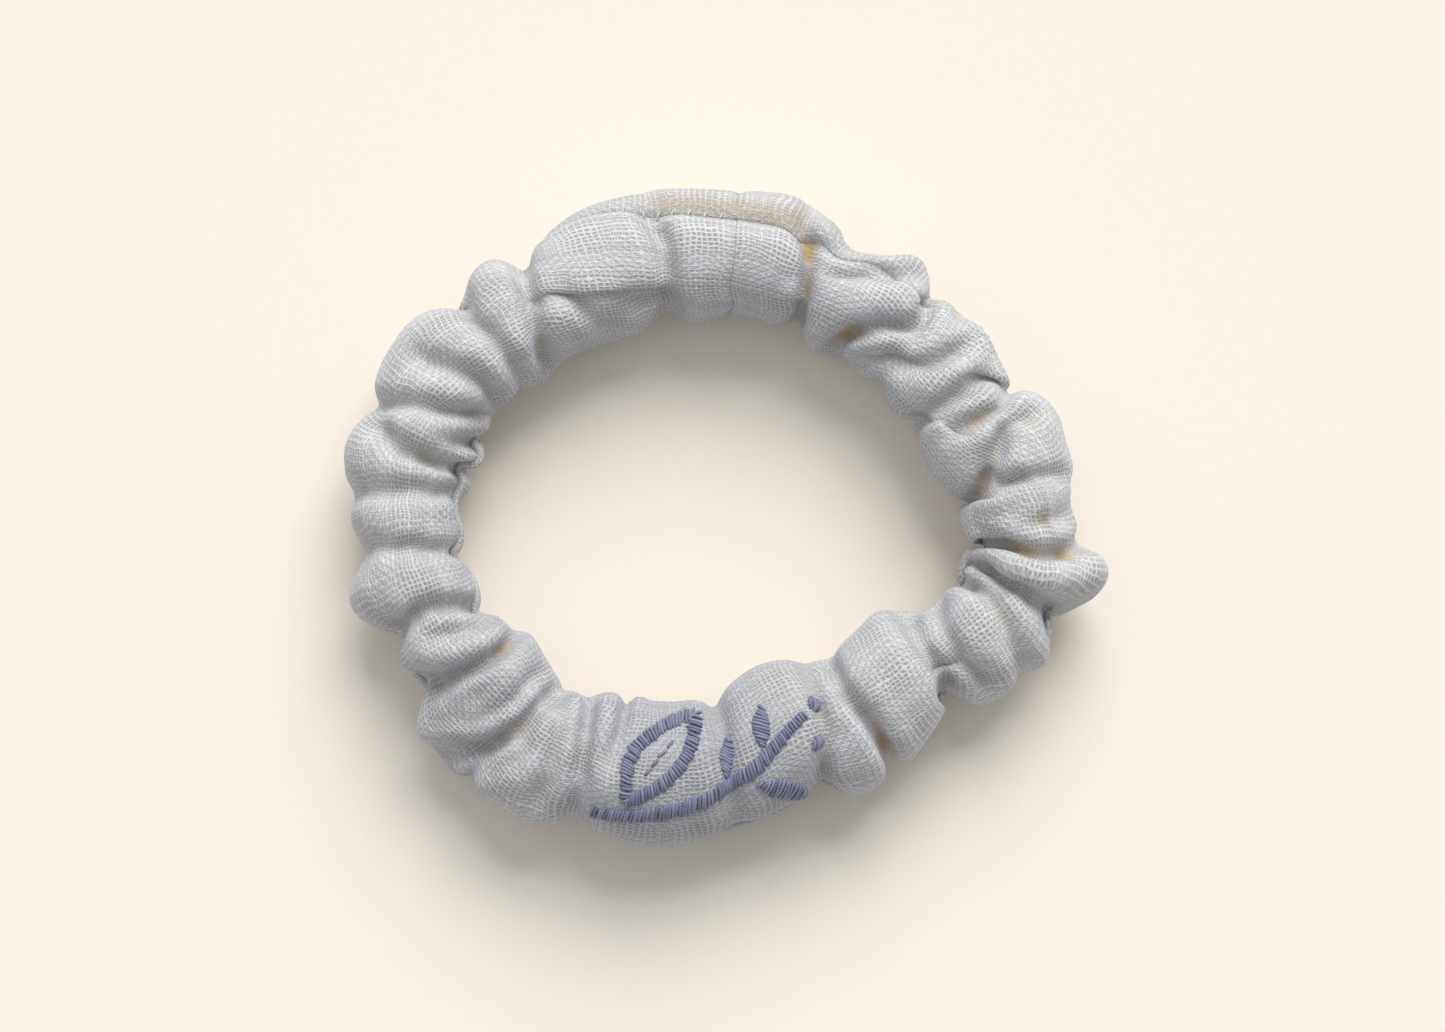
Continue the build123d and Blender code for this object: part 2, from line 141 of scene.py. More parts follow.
# Valleys between the folds of the upper side, in plan: a line, its depth, and half its width
VALLEYS = [
    ([(-5.6, 22.6), (-6, 25.6), (-6.6, 29.5), (-8, 32.6)], 1.6, 1),
    ([(-12.8, 20.8), (-10.5, 23.4), (-7, 24.2)], 0.7, 1.4), ([(-13.6, 21.2), (-17.4, 24.4)], 0.8, 0.9),
    ([(-19.4, 16.2), (-20.6, 20), (-21.7, 25), (-22.6, 28.6)], 1.9, 0.9),
    ([(-27.8, 22.4), (-29.2, 25)], 0.9, 0.8),
    ([(-22.2, 15), (-24, 17.6), (-26.6, 20.4), (-28.6, 22.6)], 1.4, 0.8),
    ([(-25.2, 12.8), (-26.8, 14.6), (-29.4, 15.6), (-33.4, 17)], 1.3, 0.9),
    ([(-26.4, 11.2), (-30, 11), (-34, 11.8), (-38.6, 12.2)], 1.5, 0.7),
    ([(-28, 4.8), (-31.6, 5.6), (-35, 6.8), (-37.8, 9.4)], 1.7, 0.9),
    ([(-26.8, 8.6), (-29.8, 7.6)], 1.1, 0.9),
    ([(-29, 3.2), (-31.6, 2.4), (-36, 2.2), (-41.2, 2.6)], 1, 1.1),
    ([(-29.4, -4), (-35, -4.2), (-40.6, -3.2)], 0.9, 1),
    ([(-26.2, -10.2), (-29.4, -10.2), (-32.4, -10.5), (-35.6, -12.6)], 1.8, 0.8),
    ([(-24.2, -11.2), (-27.6, -13), (-31.4, -13.8)], 0.8, 0.8),
    ([(-22.6, -12.6), (-24.2, -15.2), (-26.4, -16.8), (-30.4, -18.6), (-35.2, -18)], 2, 0.8),
    ([(-25.6, -20), (-28.6, -20.7), (-31.8, -20.4)], 1.1, 0.7),
    ([(-20.2, -17.6), (-23.2, -21.2), (-26.8, -22.9), (-31.8, -22.8)], 1.2, 0.7),
    ([(-18.4, -19.4), (-21.8, -23.8), (-26, -26), (-31.8, -26.2)], 1.9, 1),
    ([(-20.4, -25.2), (-23.2, -27.4), (-28.2, -28.6)], 0.9, 0.8),
    ([(-17.6, -19.4), (-18, -24.8), (-19, -28.4), (-20.2, -31.8)], 1.4, 0.7),
    ([(-14.4, -19.6), (-15, -25), (-15.6, -30), (-16.8, -34)], 1.8, 0.8),
    ([(-10.4, -19.8), (-11.4, -24.4), (-13, -28)], 0.8, 0.7),
    ([(-1, -20.2), (0, -24), (0.6, -28), (1.6, -33.8)], 0.9, 1),
    ([(8.4, -15.2), (10, -19.4), (11.2, -24), (11, -29.6)], 1.5, 0.7),
    ([(10.6, -17.6), (12.8, -22.6), (13.4, -25)], 0.6, 0.6),
    ([(11.2, -15.4), (13.6, -20.4), (16.2, -23.2), (18, -26.2), (19.4, -29)], 2.1, 0.8),
    ([(20, -10.8), (22, -14.6), (24.4, -18), (25.2, -20.4)], 1.8, 1.2),
    ([(23.6, -9.4), (23.6, -12.2), (25.8, -16.2), (29, -18.6)], 1.2, 1.1),
    ([(25.6, -6.8), (29.2, -9.6), (31, -13), (33.4, -17.4)], 1.6, 0.9),
    ([(27.6, -4.8), (31.2, -7.6), (34.2, -9.6), (36.8, -10.8)], 2.1, 0.8),
    ([(26.8, -3.2), (31, -3.6), (34.4, -4.8), (37.6, -4.6), (39.8, -2.8)], 2, 0.7),
    ([(34.6, -1.4), (37.4, -0.6)], 1, 0.7), ([(27.4, 1.2), (28.6, 3.2), (30, 5.8), (30.8, 8.6)], 1.9, 0.8),
    ([(29.4, 2.8), (33.2, 3.6), (37.6, 4.2)], 0.9, 0.8),
    ([(25.8, 8.8), (28, 10.2), (30.2, 11.4), (31.8, 13.6)], 1.5, 0.7),
    ([(30.6, 7.8), (31.6, 9.6), (34, 10.6)], 1, 0.7),
    ([(21.4, 10.2), (24, 11.6), (26.2, 13.2), (28.6, 15)], 1.6, 0.9),
    ([(18.6, 17.6), (21.4, 16.1), (24, 16.4), (26.4, 18.4)], 1.4, 0.8),
    ([(20.4, 18.4), (22, 21), (22.8, 23.8), (24.4, 26.2)], 1.3, 0.9),
    ([(11.6, 18.4), (14.2, 20), (16.8, 20.6), (20.4, 20.6)], 1.7, 0.8),
    ([(15.4, 17.2), (19.8, 18.2)], 0.8, 0.8),
    ([(10, 27.6), (13.2, 26.2), (17.2, 26), (22, 26.6)], 1.1, 0.7), ([(9.8, 29.8), (12.4, 28.4)], 0.8, 0.7),
    ([(8.4, 20.8), (9.2, 25), (9.6, 29), (8.8, 31.4), (10.4, 34.8)], 1.8, 0.7),
    ([(-8.4, 34.6), (-5, 33.4), (0, 32.7), (5, 32.1), (8.6, 31.2)], 0.7, 0.5),
]
# Rolls of cloth that stand above their surroundings
RIDGES = [
    ([(28.4, -4.4), (31.4, -5.8), (35.2, -7.4), (38.6, -7.4), (41.6, -6)], 1, 1.2),
    ([(11.6, 27.4), (16, 27.4), (21.6, 27.8)], 0.7, 0.8), ([(9.6, 32.4), (12, 30)], 0.6, 1),
    ([(-23.4, -13.6), (-26.6, -14.8), (-31, -16)], 0.6, 0.8),
    ([(26.4, -8.6), (29.6, -11.4), (32.2, -15)], 0.6, 0.9),
    ([(12.4, -18.4), (15.2, -24.4), (16.8, -28)], 0.4, 0.8),
    ([(-12.6, -21), (-13.2, -27), (-12.8, -30.6)], 0.5, 0.9),
]
# The cover's outline in plan, outside and inside the loop
OUTER = [
    (1.5, 36.2), (-8, 36.2), (-15, 34.6), (-22.4, 28.9), (-26.6, 28.8), (-30, 23.6), (-35, 21.8),
    (-38.4, 15.5), (-38.7, 12.2), (-41.8, 8.5), (-41.2, 1.5), (-39.6, -4.7), (-41.3, -9.6), (-35.4, -14),
    (-35.2, -17.6), (-33.2, -20.6), (-34.3, -26.2), (-29, -29.8), (-22.4, -33.7), (-15.8, -34.2),
    (-8.5, -36.2), (1, -35), (6.4, -32.4), (10.6, -30.1), (15.5, -31), (20, -29), (22.6, -25),
    (25.1, -20.3), (29, -21.1), (36.4, -16.8), (35.2, -11.8), (42.2, -7), (39.6, -2.6), (38.2, 0.8),
    (38.8, 5.4), (36.2, 12.6), (31.8, 14.6), (29.2, 20.6), (25.8, 22.8), (22.6, 28), (17, 28.6),
    (14.4, 29.2), (9.6, 35.4),
]
INNER = [
    (5, 22), (1.5, 22.8), (-3, 21.7), (-6.2, 22.6), (-10, 20.4), (-16.5, 18.2), (-20.5, 15), (-24.8, 12.2),
    (-26.4, 8.8), (-27.2, 4.6), (-29.5, 1), (-29, -4), (-26.4, -9.8), (-21.6, -12.2), (-19.6, -16),
    (-17.2, -18.9), (-11, -19.5), (-4, -20.7), (-1.4, -20.5), (3.5, -16.8), (9.6, -15.2), (12.6, -14.8),
    (17.2, -10.8), (22.4, -10), (25, -8), (26.6, -4), (26.6, 0), (23.6, 3.8), (21.4, 8.4), (19, 12),
    (18.2, 15.2), (14.8, 16.4), (10, 18.6), (7, 21.4),
]
# How much cloth is gathered into each length of the loop
GATHER = [
    ((1.4, 29), 1.1), ((-10, 28), 1.22), ((-22, 21), 1.5), ((-31, 16), 1.5), ((-35, 8), 1.55),
    ((-35, 0), 1.5), ((-34, -8), 1.5), ((-28, -18), 1.7), ((-20, -25), 1.7), ((-14, -28), 1.3),
    ((-10, -29), 1), ((-2, -29), 1), ((6, -26), 1), ((11, -23), 1.4), ((18, -20), 1.55), ((27, -14), 1.6),
    ((33, -9), 1.8), ((34, -4), 2.1), ((33, 2), 1.7), ((30, 8), 1.7), ((24, 14), 1.7), ((18, 21), 1.7),
    ((11, 28), 1.6), ((6, 29), 1.15),
]
# How far the long seam lies round the tube from its outer side, in degrees, upwards
SEAM_TURN = [
    ((-22, 21), -30), ((-14, 27), 20), ((-6, 29), 48), ((3, 29), 57), ((9, 29), 66), ((16, 24), 52),
    ((24, 15), 15), ((31, 8), -25), ((34, -4), -40), ((0, -29), -40), ((-34, 0), -40),
]
# Where painted yellowish shade darkens the folds' pockets: place, reach, strength
POCKET_SHADE_PLACES = [
    ((9.5, 29), 1.6, 1), ((9.4, 25), 1.3, 0.7), ((5.5, 33.6), 2.2, 0.8), ((0, 34.8), 2.6, 0.6),
    ((-6, 35), 2.4, 0.5), ((28.5, 3), 1.8, 0.9), ((33, -4.6), 1.6, 1), ((37.6, -5.4), 1.8, 1),
    ((17.8, -24.6), 1.8, 0.9), ((19.2, -27), 1.4, 0.7), ((-24.5, -15), 1.6, 0.9), ((14, 20), 1.6, 0.8),
    ((28, 10), 1.7, 0.7), ((-20, 19.6), 1.2, 0.5), ((-18.6, -18), 1.5, 0.4), ((35.4, 0), 1.5, 0.5),
]
POCKET_SHADE_REACH = 0.85
# The yellow strip above the long seam: its line, its strength, and half its width
WARM_STRIP = ([(-7, 34.5), (0, 34), (5, 33.2), (8.4, 32.4)], 0.36, 1.1)
# Where the cloth is darker and bluer, its own greyer tone round the sprig and painted shade over the loop's
# lower side: place, reach, strength
SHADE_AND_GREY_PLACES = [((-3, -28), 15, 1.0), ((-26, -22), 11, 0.6), ((8, -30), 8, 0.8)]


def lengths_along(line):
    """How far along a line of points each one is."""
    return np.concatenate([[0], np.cumsum(np.linalg.norm(np.diff(line, axis=0), axis=1))])


def resampled(line, along, wanted):
    """A line's points in plan at the wanted lengths along it."""
    return np.stack([np.interp(wanted, along, line[:, k]) for k in (0, 1)], 1)


class Loop:
    """The tube's centreline: points, tangents and outward normals at any length along it."""

    def __init__(self, count=4000):
        corners = np.array(OUTLINE, float)
        points = []
        for before, here, after in zip(np.roll(corners, 1, 0), corners, np.roll(corners, -1, 0)):
            u, v = here - before, after - here
            short = min(np.linalg.norm(u), np.linalg.norm(v))
            u, v = u / np.linalg.norm(u), v / np.linalg.norm(v)
            turn = math.acos(u @ v)
            radius = ROUNDING * short / math.tan(turn / 2)
            left = np.array([-u[1], u[0]])
            centre = here - ROUNDING * short * u + radius * left
            arc = np.linspace(0, turn, 60)[:, None]
            points.append(centre + radius * (np.sin(arc) * u - np.cos(arc) * left))
        points = np.vstack(points + [points[0][:1]])
        along = lengths_along(points)
        self.length, self.count = along[-1], count
        even = np.arange(count) / count * self.length
        xy = resampled(points, along, even)
        top = np.where(xy[:, 1] > 20)[0]
        self.xy = np.roll(xy, -top[np.argmin(np.abs(xy[top, 0] - SEAM_X))], 0)
        tangent = np.roll(self.xy, -1, 0) - np.roll(self.xy, 1, 0)
        self.tangent = tangent / np.linalg.norm(tangent, axis=1)[:, None]
        self.normal = np.stack([self.tangent[:, 1], -self.tangent[:, 0]], 1)

    def at(self, s):
        """The point, the direction and the outward normal at a length along the loop."""
        i = np.mod(s / self.length * self.count, self.count)
        k = i.astype(int) % self.count
        j, f = (k + 1) % self.count, (i - np.floor(i))[..., None]
        return [a[k] * (1 - f) + a[j] * f for a in (self.xy, self.tangent, self.normal)]

    def locate(self, points):
        """The length along the loop, and the outward distance from it, of points in plan."""
        p = np.asarray(points, float)
        k = ((p[:, None] - self.xy[None, ::4]) ** 2).sum(-1).argmin(1) * 4
        off = p - self.xy[k]
        along = k / self.count * self.length + (off * self.tangent[k]).sum(1)
        return np.mod(along, self.length), (off * self.normal[k]).sum(1)

    def near(self, d):
        """A difference of two lengths along the loop, the short way round."""
        return np.mod(d + self.length / 2, self.length) - self.length / 2

    def smooth(self, places, values):
        """A function of the length along the loop that eases from each value to the next."""
        order = np.argsort(places)
        s, v = places[order], np.asarray(values, float)[order]
        s = np.concatenate([[s[-1] - self.length], s, [s[0] + self.length]])
        v = np.concatenate([v[-1:], v, v[:1]])

        def value(q):
            q = np.mod(q, self.length)
            k = np.clip(np.searchsorted(s, q, side="right") - 1, 0, len(s) - 2)
            f = (q - s[k]) / (s[k + 1] - s[k])
            f = f * f * (3 - 2 * f)
            return v[k] * (1 - f) + v[k + 1] * f

        return value


LOOP = Loop()


class Layout:
    """Where each column of the cloth starts on the loop, and the shape it is gathered into."""

    def __init__(self, count=2000):
        places, reach = LOOP.locate(OUTER)
        self.outer = LOOP.smooth(places, reach)
        places, reach = LOOP.locate(INNER)
        self.inner = LOOP.smooth(places, -reach)
        places, _ = LOOP.locate([g[0] for g in GATHER])
        gather = LOOP.smooth(places, [1 + FULLNESS * (g[1] - 1) for g in GATHER])
        places, _ = LOOP.locate([t[0] for t in SEAM_TURN])
        self.turn = LOOP.smooth(places, np.radians([t[1] for t in SEAM_TURN]))
        fine = (np.arange(count) + 0.5) / count * LOOP.length
        self.cloth_at = np.concatenate([[0], np.cumsum(gather(fine))]) * LOOP.length / count
        self.length = self.cloth_at[-1]
        self.along = np.linspace(0, LOOP.length, count + 1)

    def column_place(self):
        """The length along the loop at which each column starts."""
        return np.interp(np.arange(COLUMNS) / COLUMNS * self.length, self.cloth_at, self.along)

    def column_of(self, s):
        """The fractional column at a length along the loop."""
        return np.interp(np.mod(s, LOOP.length), self.along, self.cloth_at) / self.length * COLUMNS

    def spot(self, plan):
        """The fractional column and row of the cloth that lie at points in plan, on the upper side."""
        s, out = LOOP.locate(plan)
        share = np.clip(out / np.where(out > 0, self.outer(s), self.inner(s)), -1, 1)
        return self.column_of(s), (np.arccos(share) - self.turn(s)) / (2 * math.pi) * ROWS

    def place(self, s, angle, shrink):
        """A point on the gathered tube's outline, drawn in by shrink away from the two edges."""
        p, _, n = LOOP.at(s)
        c, up = np.cos(angle), np.sin(angle)
        reach = np.where(c > 0, self.outer(s), self.inner(s)) - OUTLINE_INSET
        reach = reach - (shrink - OUTLINE_INSET) * np.abs(up)
        plan = p + (reach * c)[..., None] * n
        return np.concatenate([plan, (TUBE_Z + (TUBE_UP - shrink) * up)[..., None]], -1)


LAYOUT = Layout()


# --- Cloth simulation -------------------------------------------------------------------------
def nearest_line(s, side, middles, slants):
    """The signed distance along the loop to the nearest of some lines across it, and which."""
    best, which = np.full(s.shape, 1e9), np.zeros(s.shape, int)
    for k, (middle, slant) in enumerate(zip(middles, slants)):
        d = LOOP.near(s - middle - slant * side)
        closer = np.abs(d) < np.abs(best)
        best[closer], which[closer] = d[closer], k
    return best, which


RELIEF_CELL = 0.25
RELIEF_X, RELIEF_Y = np.arange(-46, 46, RELIEF_CELL), np.arange(-40, 40, RELIEF_CELL)


def strongest(lines):
    """The height of lines with rounded profiles over a grid in plan, the highest one counting."""
    x, y = np.meshgrid(RELIEF_X, RELIEF_Y, indexing="ij")
    height = np.zeros(x.shape)
    for corners, depth, width in lines:
        for (ax, ay), (bx, by) in zip(corners, corners[1:]):
            run = (bx - ax) ** 2 + (by - ay) ** 2
            t = np.clip(((x - ax) * (bx - ax) + (y - ay) * (by - ay)) / run, 0, 1)
            far = (x - ax - t * (bx - ax)) ** 2 + (y - ay - t * (by - ay)) ** 2
            height = np.maximum(height, depth * np.exp(-far / width**2))
    return height


RELIEF = strongest(RIDGES) - strongest(VALLEYS)


def height_at(grid, points):
    """A grid's height at points in plan."""
    i = np.clip(((points[:, 0] - RELIEF_X[0]) / RELIEF_CELL).round().astype(int), 0, len(RELIEF_X) - 1)
    j = np.clip(((points[:, 1] - RELIEF_Y[0]) / RELIEF_CELL).round().astype(int), 0, len(RELIEF_Y) - 1)
    return grid[i, j]


def touching(points, reach, column, row):
    """Pairs of points nearer than reach that aren't neighbours in the cloth, by a grid of cells."""
    cell = np.floor((points - points.min(0) + reach) / reach).astype(np.int64)
    size = cell.max(0) + 2
    key = (cell[:, 0] * size[1] + cell[:, 1]) * size[2] + cell[:, 2]
    order = np.argsort(key, kind="stable")
    key = key[order]
    cells = int(size.prod())
    first = np.concatenate([[0], np.cumsum(np.bincount(key, minlength=cells + 1))])
    here = np.arange(len(key))
    found = []
    steps = [(x, y, z) for x in (0, 1) for y in (-1, 0, 1) for z in (-1, 0, 1) if (x, y, z) >= (0, 0, 0)]
    for x, y, z in steps:
        other = np.clip(key + (x * size[1] + y) * size[2] + z, 0, cells)
        start = here + 1 if (x, y, z) == (0, 0, 0) else first[other]
        count = np.maximum(first[other + 1] - start, 0)
        i = np.repeat(here, count)
        j = np.arange(len(i)) - np.repeat(np.cumsum(count) - count - start, count)
        found.append((order[i], order[j]))
    i, j = (np.concatenate(f) for f in zip(*found))
    gap = points[i] - points[j]
    near = (gap * gap).sum(1) < reach * reach
    i, j = i[near], j[near]
    across, along = np.abs(column[i] - column[j]), np.abs(row[i] - row[j])
    apart = (np.minimum(across, COLUMNS - across) > 2) | (np.minimum(along, ROWS - along) > 2)
    return i[apart], j[apart]


def part(flat, i, j):
    """Moves pairs of points that are nearer than two touching layers apart."""
    gap = flat[i] - flat[j]
    length = np.sqrt((gap * gap).sum(1)) + 1e-9
    close = length < CLOTH_GAP
    move = (PARTED * (CLOTH_GAP - length[close]) / length[close])[:, None] * gap[close]
    for k in range(3):
        total = np.bincount(i[close], move[:, k], len(flat)) - np.bincount(j[close], move[:, k], len(flat))
        flat[:, k] += np.clip(total, -MOST_PARTED, MOST_PARTED)


def pull(points, rest, axis, parity):
    """Moves every second pair of neighbours along an axis to its rest length."""
    lines = points if axis == 0 else points.transpose(1, 0, 2)
    i = np.arange(parity, len(lines), 2)
    j = (i + 1) % len(lines)
    gap = lines[j] - lines[i]
    length = np.sqrt(np.einsum("ijk,ijk->ij", gap, gap)) + 1e-9
    wanted = rest if np.ndim(rest) == 0 else rest[i]
    gap *= (PULL * (length - wanted) / length)[..., None]
    lines[i] += gap
    lines[j] -= gap


def shear(points, rest):
    """Moves the ends of the cloth's diagonals towards their rest length."""
    for side in (-1, 1):
        gap = np.roll(points, (-1, side), (0, 1)) - points
        length = np.sqrt(np.einsum("ijk,ijk->ij", gap, gap)) + 1e-9
        gap *= (SHEAR * (length - rest) / length)[..., None]
        points = points + gap - np.roll(gap, (1, -side), (0, 1))
    return points


def curl(points, axis):
    """How sharply the cloth bends along an axis, as the change of its curvature."""
    bend = 0.5 * (np.roll(points, -1, axis) + np.roll(points, 1, axis)) - points
    return 0.5 * (np.roll(bend, -1, axis) + np.roll(bend, 1, axis)) - bend


def normals(points):
    """The cloth's outward normals, as long as the area between four neighbours."""
    along = np.roll(points, -1, 0) - np.roll(points, 1, 0)
    across = np.roll(points, -1, 1) - np.roll(points, 1, 1)
    return np.cross(along, across)


def capped(move, most):
    """Moves of the points, none of them longer than the most."""
    length = np.sqrt((move * move).sum(-1, keepdims=True))
    return move * np.minimum(1, most / np.maximum(length, 1e-9))


def unit(vectors):
    return vectors / np.maximum(np.linalg.norm(vectors, axis=-1, keepdims=True), 1e-9)


def spread(values, times):
    """Values averaged with their neighbours on the cloth, that many times."""
    for _ in range(times):
        for axis in (0, 1):
            values = (np.roll(values, 1, axis) + 2 * values + np.roll(values, -1, axis)) / 4
    return values


def creased(points):
    """The cloth with its valleys pressed in and its ridges raised further, its folds kept apart."""
    column, row = np.divmod(np.arange(COLUMNS * ROWS), ROWS)
    flat = points.reshape(-1, 3)
    upper = np.clip((flat[:, 2] - TUBE_Z + 1.0) / 3.0, 0, 1)
    depth = np.maximum(CRISP * height_at(RELIEF, flat) * upper, -CRISP_MOST).reshape(COLUMNS, ROWS)
    move = spread(depth, 1)[..., None] * unit(normals(spread(points, 4)))
    for _ in range(PRESSES):
        points = points + move / PRESSES
        flat = points.reshape(-1, 3)
        i, j = touching(flat, TOUCH_REACH, column, row)
        for _ in range(3):
            part(flat, i, j)
        points = flat.reshape(COLUMNS, ROWS, 3)
        points -= SMOOTHED * (curl(points, 0) + curl(points, 1))
    return points


def lower_creases():
    """The lower side's creases: where each crosses the loop, how it slants, and its depth."""
    inner, _ = LOOP.locate([crease[0] for crease in CREASES])
    outer, _ = LOOP.locate([crease[1] for crease in CREASES])
    outer = inner + LOOP.near(outer - inner)
    return (inner + outer) / 2, (outer - inner) / 2, np.array([crease[2] for crease in CREASES])


def uneven(points):
    """The points moved a little at random, so that the cloth has somewhere to start buckling."""
    noise = np.random.default_rng(3).normal(0, 1, points.shape)
    shifts = ((0, 0), (1, 0), (-1, 0), (0, 1), (0, -1), (0, 2), (0, -2))
    for _ in range(3):
        noise = sum(np.roll(noise, shift, (0, 1)) for shift in shifts)
        noise /= len(shifts)
    return (points + START_NOISE * noise / noise.std()).astype(np.float32)


def wanted_fullness(flat, at, out, up, creases):
    """The share of its outline that the cloth should fill at each point."""
    middles, slants, depths = creases
    turned = out / np.maximum(np.hypot(out, up), 1e-6)
    off, fold = nearest_line(at, turned, middles, slants)
    below = -depths[fold] * np.exp(-((off / VALLEY) ** 2))
    upper = np.clip((up + 1.5) / 3.0, 0, 1)
    return FILL + (upper * DEEP * height_at(RELIEF, flat) + (1 - upper) * below) / TUBE_UP


def gathered_cloth(steps):
    """Grows a tube of cloth on the loop from its smooth length to its cut length, so that it
    buckles into gathers, with its folds held in their places."""
    s = np.repeat(LAYOUT.column_place()[:, None], ROWS, 1)
    angle = LAYOUT.turn(s) + np.arange(ROWS)[None] / ROWS * 2 * math.pi
    creases = lower_creases()
    points = uneven(LAYOUT.place(s, angle, START_INSET))
    cut, girth = np.float32(LAYOUT.length / COLUMNS), np.float32(GIRTH / ROWS)
    smooth = np.linalg.norm(np.roll(points, -1, 0) - points, axis=-1).astype(np.float32)
    eased = cut * (1 + EASE * np.cos(angle)).astype(np.float32)
    column, row = np.divmod(np.arange(COLUMNS * ROWS), ROWS)
    velocity = np.zeros_like(points)
    at = s.ravel().copy()
    for step in range(steps):
        grown = smooth + (eased - smooth) * np.float32(min(1.0, step / (GROWN * steps)))
        settle = max(0.0, step / steps - SETTLING) / (1 - SETTLING)
        velocity *= DAMPING
        velocity += PRESSURE * (1 - PRESSURE_LOST * settle) / (cut * girth * 4) * normals(points)
        velocity[..., 2] -= WEIGHT
        velocity -= STIFFNESS * (curl(points, 0) + ROUND_STIFFNESS * curl(points, 1))

        flat = points.reshape(-1, 3)
        if step % LOCATE_EVERY == 0:
            for _ in range(2):
                p, t, n = LOOP.at(at)
                at = at + ((flat[:, :2] - p) * t).sum(1) * 0.9
            p, t, n = LOOP.at(at)
            n = n.astype(np.float32)
            reach_out = LAYOUT.outer(at) - OUTLINE_INSET + SWELL
            reach_in = LAYOUT.inner(at) - OUTLINE_INSET + SWELL
            out, up = ((flat[:, :2] - p) * n).sum(1), flat[:, 2] - TUBE_Z
            wanted = wanted_fullness(flat, at, out, up, creases)
        out, up = ((flat[:, :2] - p) * n).sum(1), flat[:, 2] - TUBE_Z
        reach = np.where(out > 0, reach_out, reach_in)
        full = np.hypot(out / reach, up / np.where(up > 0, TUBE_UP, TUBE_DOWN))
        push = PUSH * (1 - PUSH_LOST * settle) * np.maximum(full - 1, 0) + HOLD * (full - wanted)
        push /= np.maximum(full, 1e-6)
        flat_velocity = velocity.reshape(-1, 3)
        flat_velocity[:, :2] -= (push * out)[:, None] * n - (SLIDE * LOOP.near(s.ravel() - at))[:, None] * t
        flat_velocity[:, 2] -= push * up
        turned = angle.ravel() - np.arctan2(up, out)
        turn_back = TWIST * (np.mod(turned + math.pi, 2 * math.pi) - math.pi)
        flat_velocity[:, :2] -= (turn_back * up)[:, None] * n
        flat_velocity[:, 2] += turn_back * out

        before = points.copy()
        points = points + capped(velocity, MOST_STEP)
        diagonal = np.sqrt(grown**2 + girth**2)
        for _ in range(PULLS):
            for axis, rest in ((0, grown), (1, girth)):
                pull(points, rest, axis, 0)
                pull(points, rest, axis, 1)
            points = shear(points, diagonal)
        flat = points.reshape(-1, 3)
        if step % TOUCH_EVERY == 0:
            i, j = touching(flat, TOUCH_REACH, column, row)
        part(flat, i, j)
        part(flat, i, j)
        flat[:, 2] = np.maximum(flat[:, 2], GROUND)
        points = flat.reshape(COLUMNS, ROWS, 3)
        velocity = capped(points - before, MOST_SPEED)
    return creased(points.astype(float))


CLOTH = gathered_cloth(STEPS)


# --- Surfaces drawn from the cloth --------------------------------------------------------------
def refined(points, axis):
    """The points with one more between each two, on their cubic B-spline."""
    before, after = np.roll(points, 1, axis), np.roll(points, -1, axis)
    both = np.stack([(before + 6 * points + after) / 8, (points + after) / 2], axis + 1)
    shape = list(points.shape)
    shape[axis] *= 2
    return both.reshape(shape)


FINE = refined(refined(CLOTH, 0), 1)
FACING = unit(normals(spread(FINE, 1)))
HOLLOW = ((spread(FINE, 10) - FINE) * FACING).sum(-1)  # how far a point lies under its surroundings
FINE_COLUMNS, FINE_ROWS = FINE.shape[:2]
EASED = spread(FINE, 40)  # the cloth without its small folds, for what lies inside
EASED_FACING = unit(normals(EASED))


def sample(field, column, row):
    """A field of the fine cloth at fractional columns and rows of the simulated one."""
    x, y = np.asarray(column) * 2, np.asarray(row) * 2
    i, j = np.floor(x).astype(int), np.floor(y).astype(int)
    f, g = x - i, y - j
    if field.ndim == 3:
        f, g = f[..., None], g[..., None]
    a, b = i % FINE_COLUMNS, (i + 1) % FINE_COLUMNS
    c, d = j % FINE_ROWS, (j + 1) % FINE_ROWS
    low = field[a, c] * (1 - f) + field[b, c] * f
    high = field[a, d] * (1 - f) + field[b, d] * f
    return low * (1 - g) + high * g


def on_cloth(column, row, height):
    """Points that stand that high over the double cloth's middle."""
    facing = unit(sample(FACING, column, row))
    return sample(FINE, column, row) + np.asarray(height)[..., None] * facing


def inside(column, row, depth):
    """Points that deep under the cloth without its small folds, and the way it faces there."""
    facing = unit(sample(EASED_FACING, column, row))
    points = sample(EASED, column, row) - np.asarray(depth)[..., None] * facing
    return kept_inside(points, INSIDE), facing


NEAREST = kdtree.KDTree(FINE_COLUMNS * FINE_ROWS)
for number, point in enumerate(FINE.reshape(-1, 3).tolist()):
    NEAREST.insert(point, number)
NEAREST.balance()


def above_cloth(points):
    """How high points stand over the nearest cloth's middle, negative inside, and the way it faces."""
    nearest = np.array([NEAREST.find(point)[1] for point in points.tolist()])
    facing = FACING.reshape(-1, 3)[nearest]
    return ((points - FINE.reshape(-1, 3)[nearest]) * facing).sum(1), facing


def kept_inside(points, depth):
    """The points, moved in where needed until they lie that deep under the nearest cloth."""
    shape = points.shape
    points = points.reshape(-1, 3).copy()
    for _ in range(4):
        height, facing = above_cloth(points)
        points -= np.clip(height + depth, 0, MOST_INWARD)[:, None] * facing
    return points.reshape(shape)


def placed(name, data):
    """A new object in the scene."""
    piece = bpy.data.objects.new(name, data)
    bpy.context.scene.collection.objects.link(piece)
    return piece


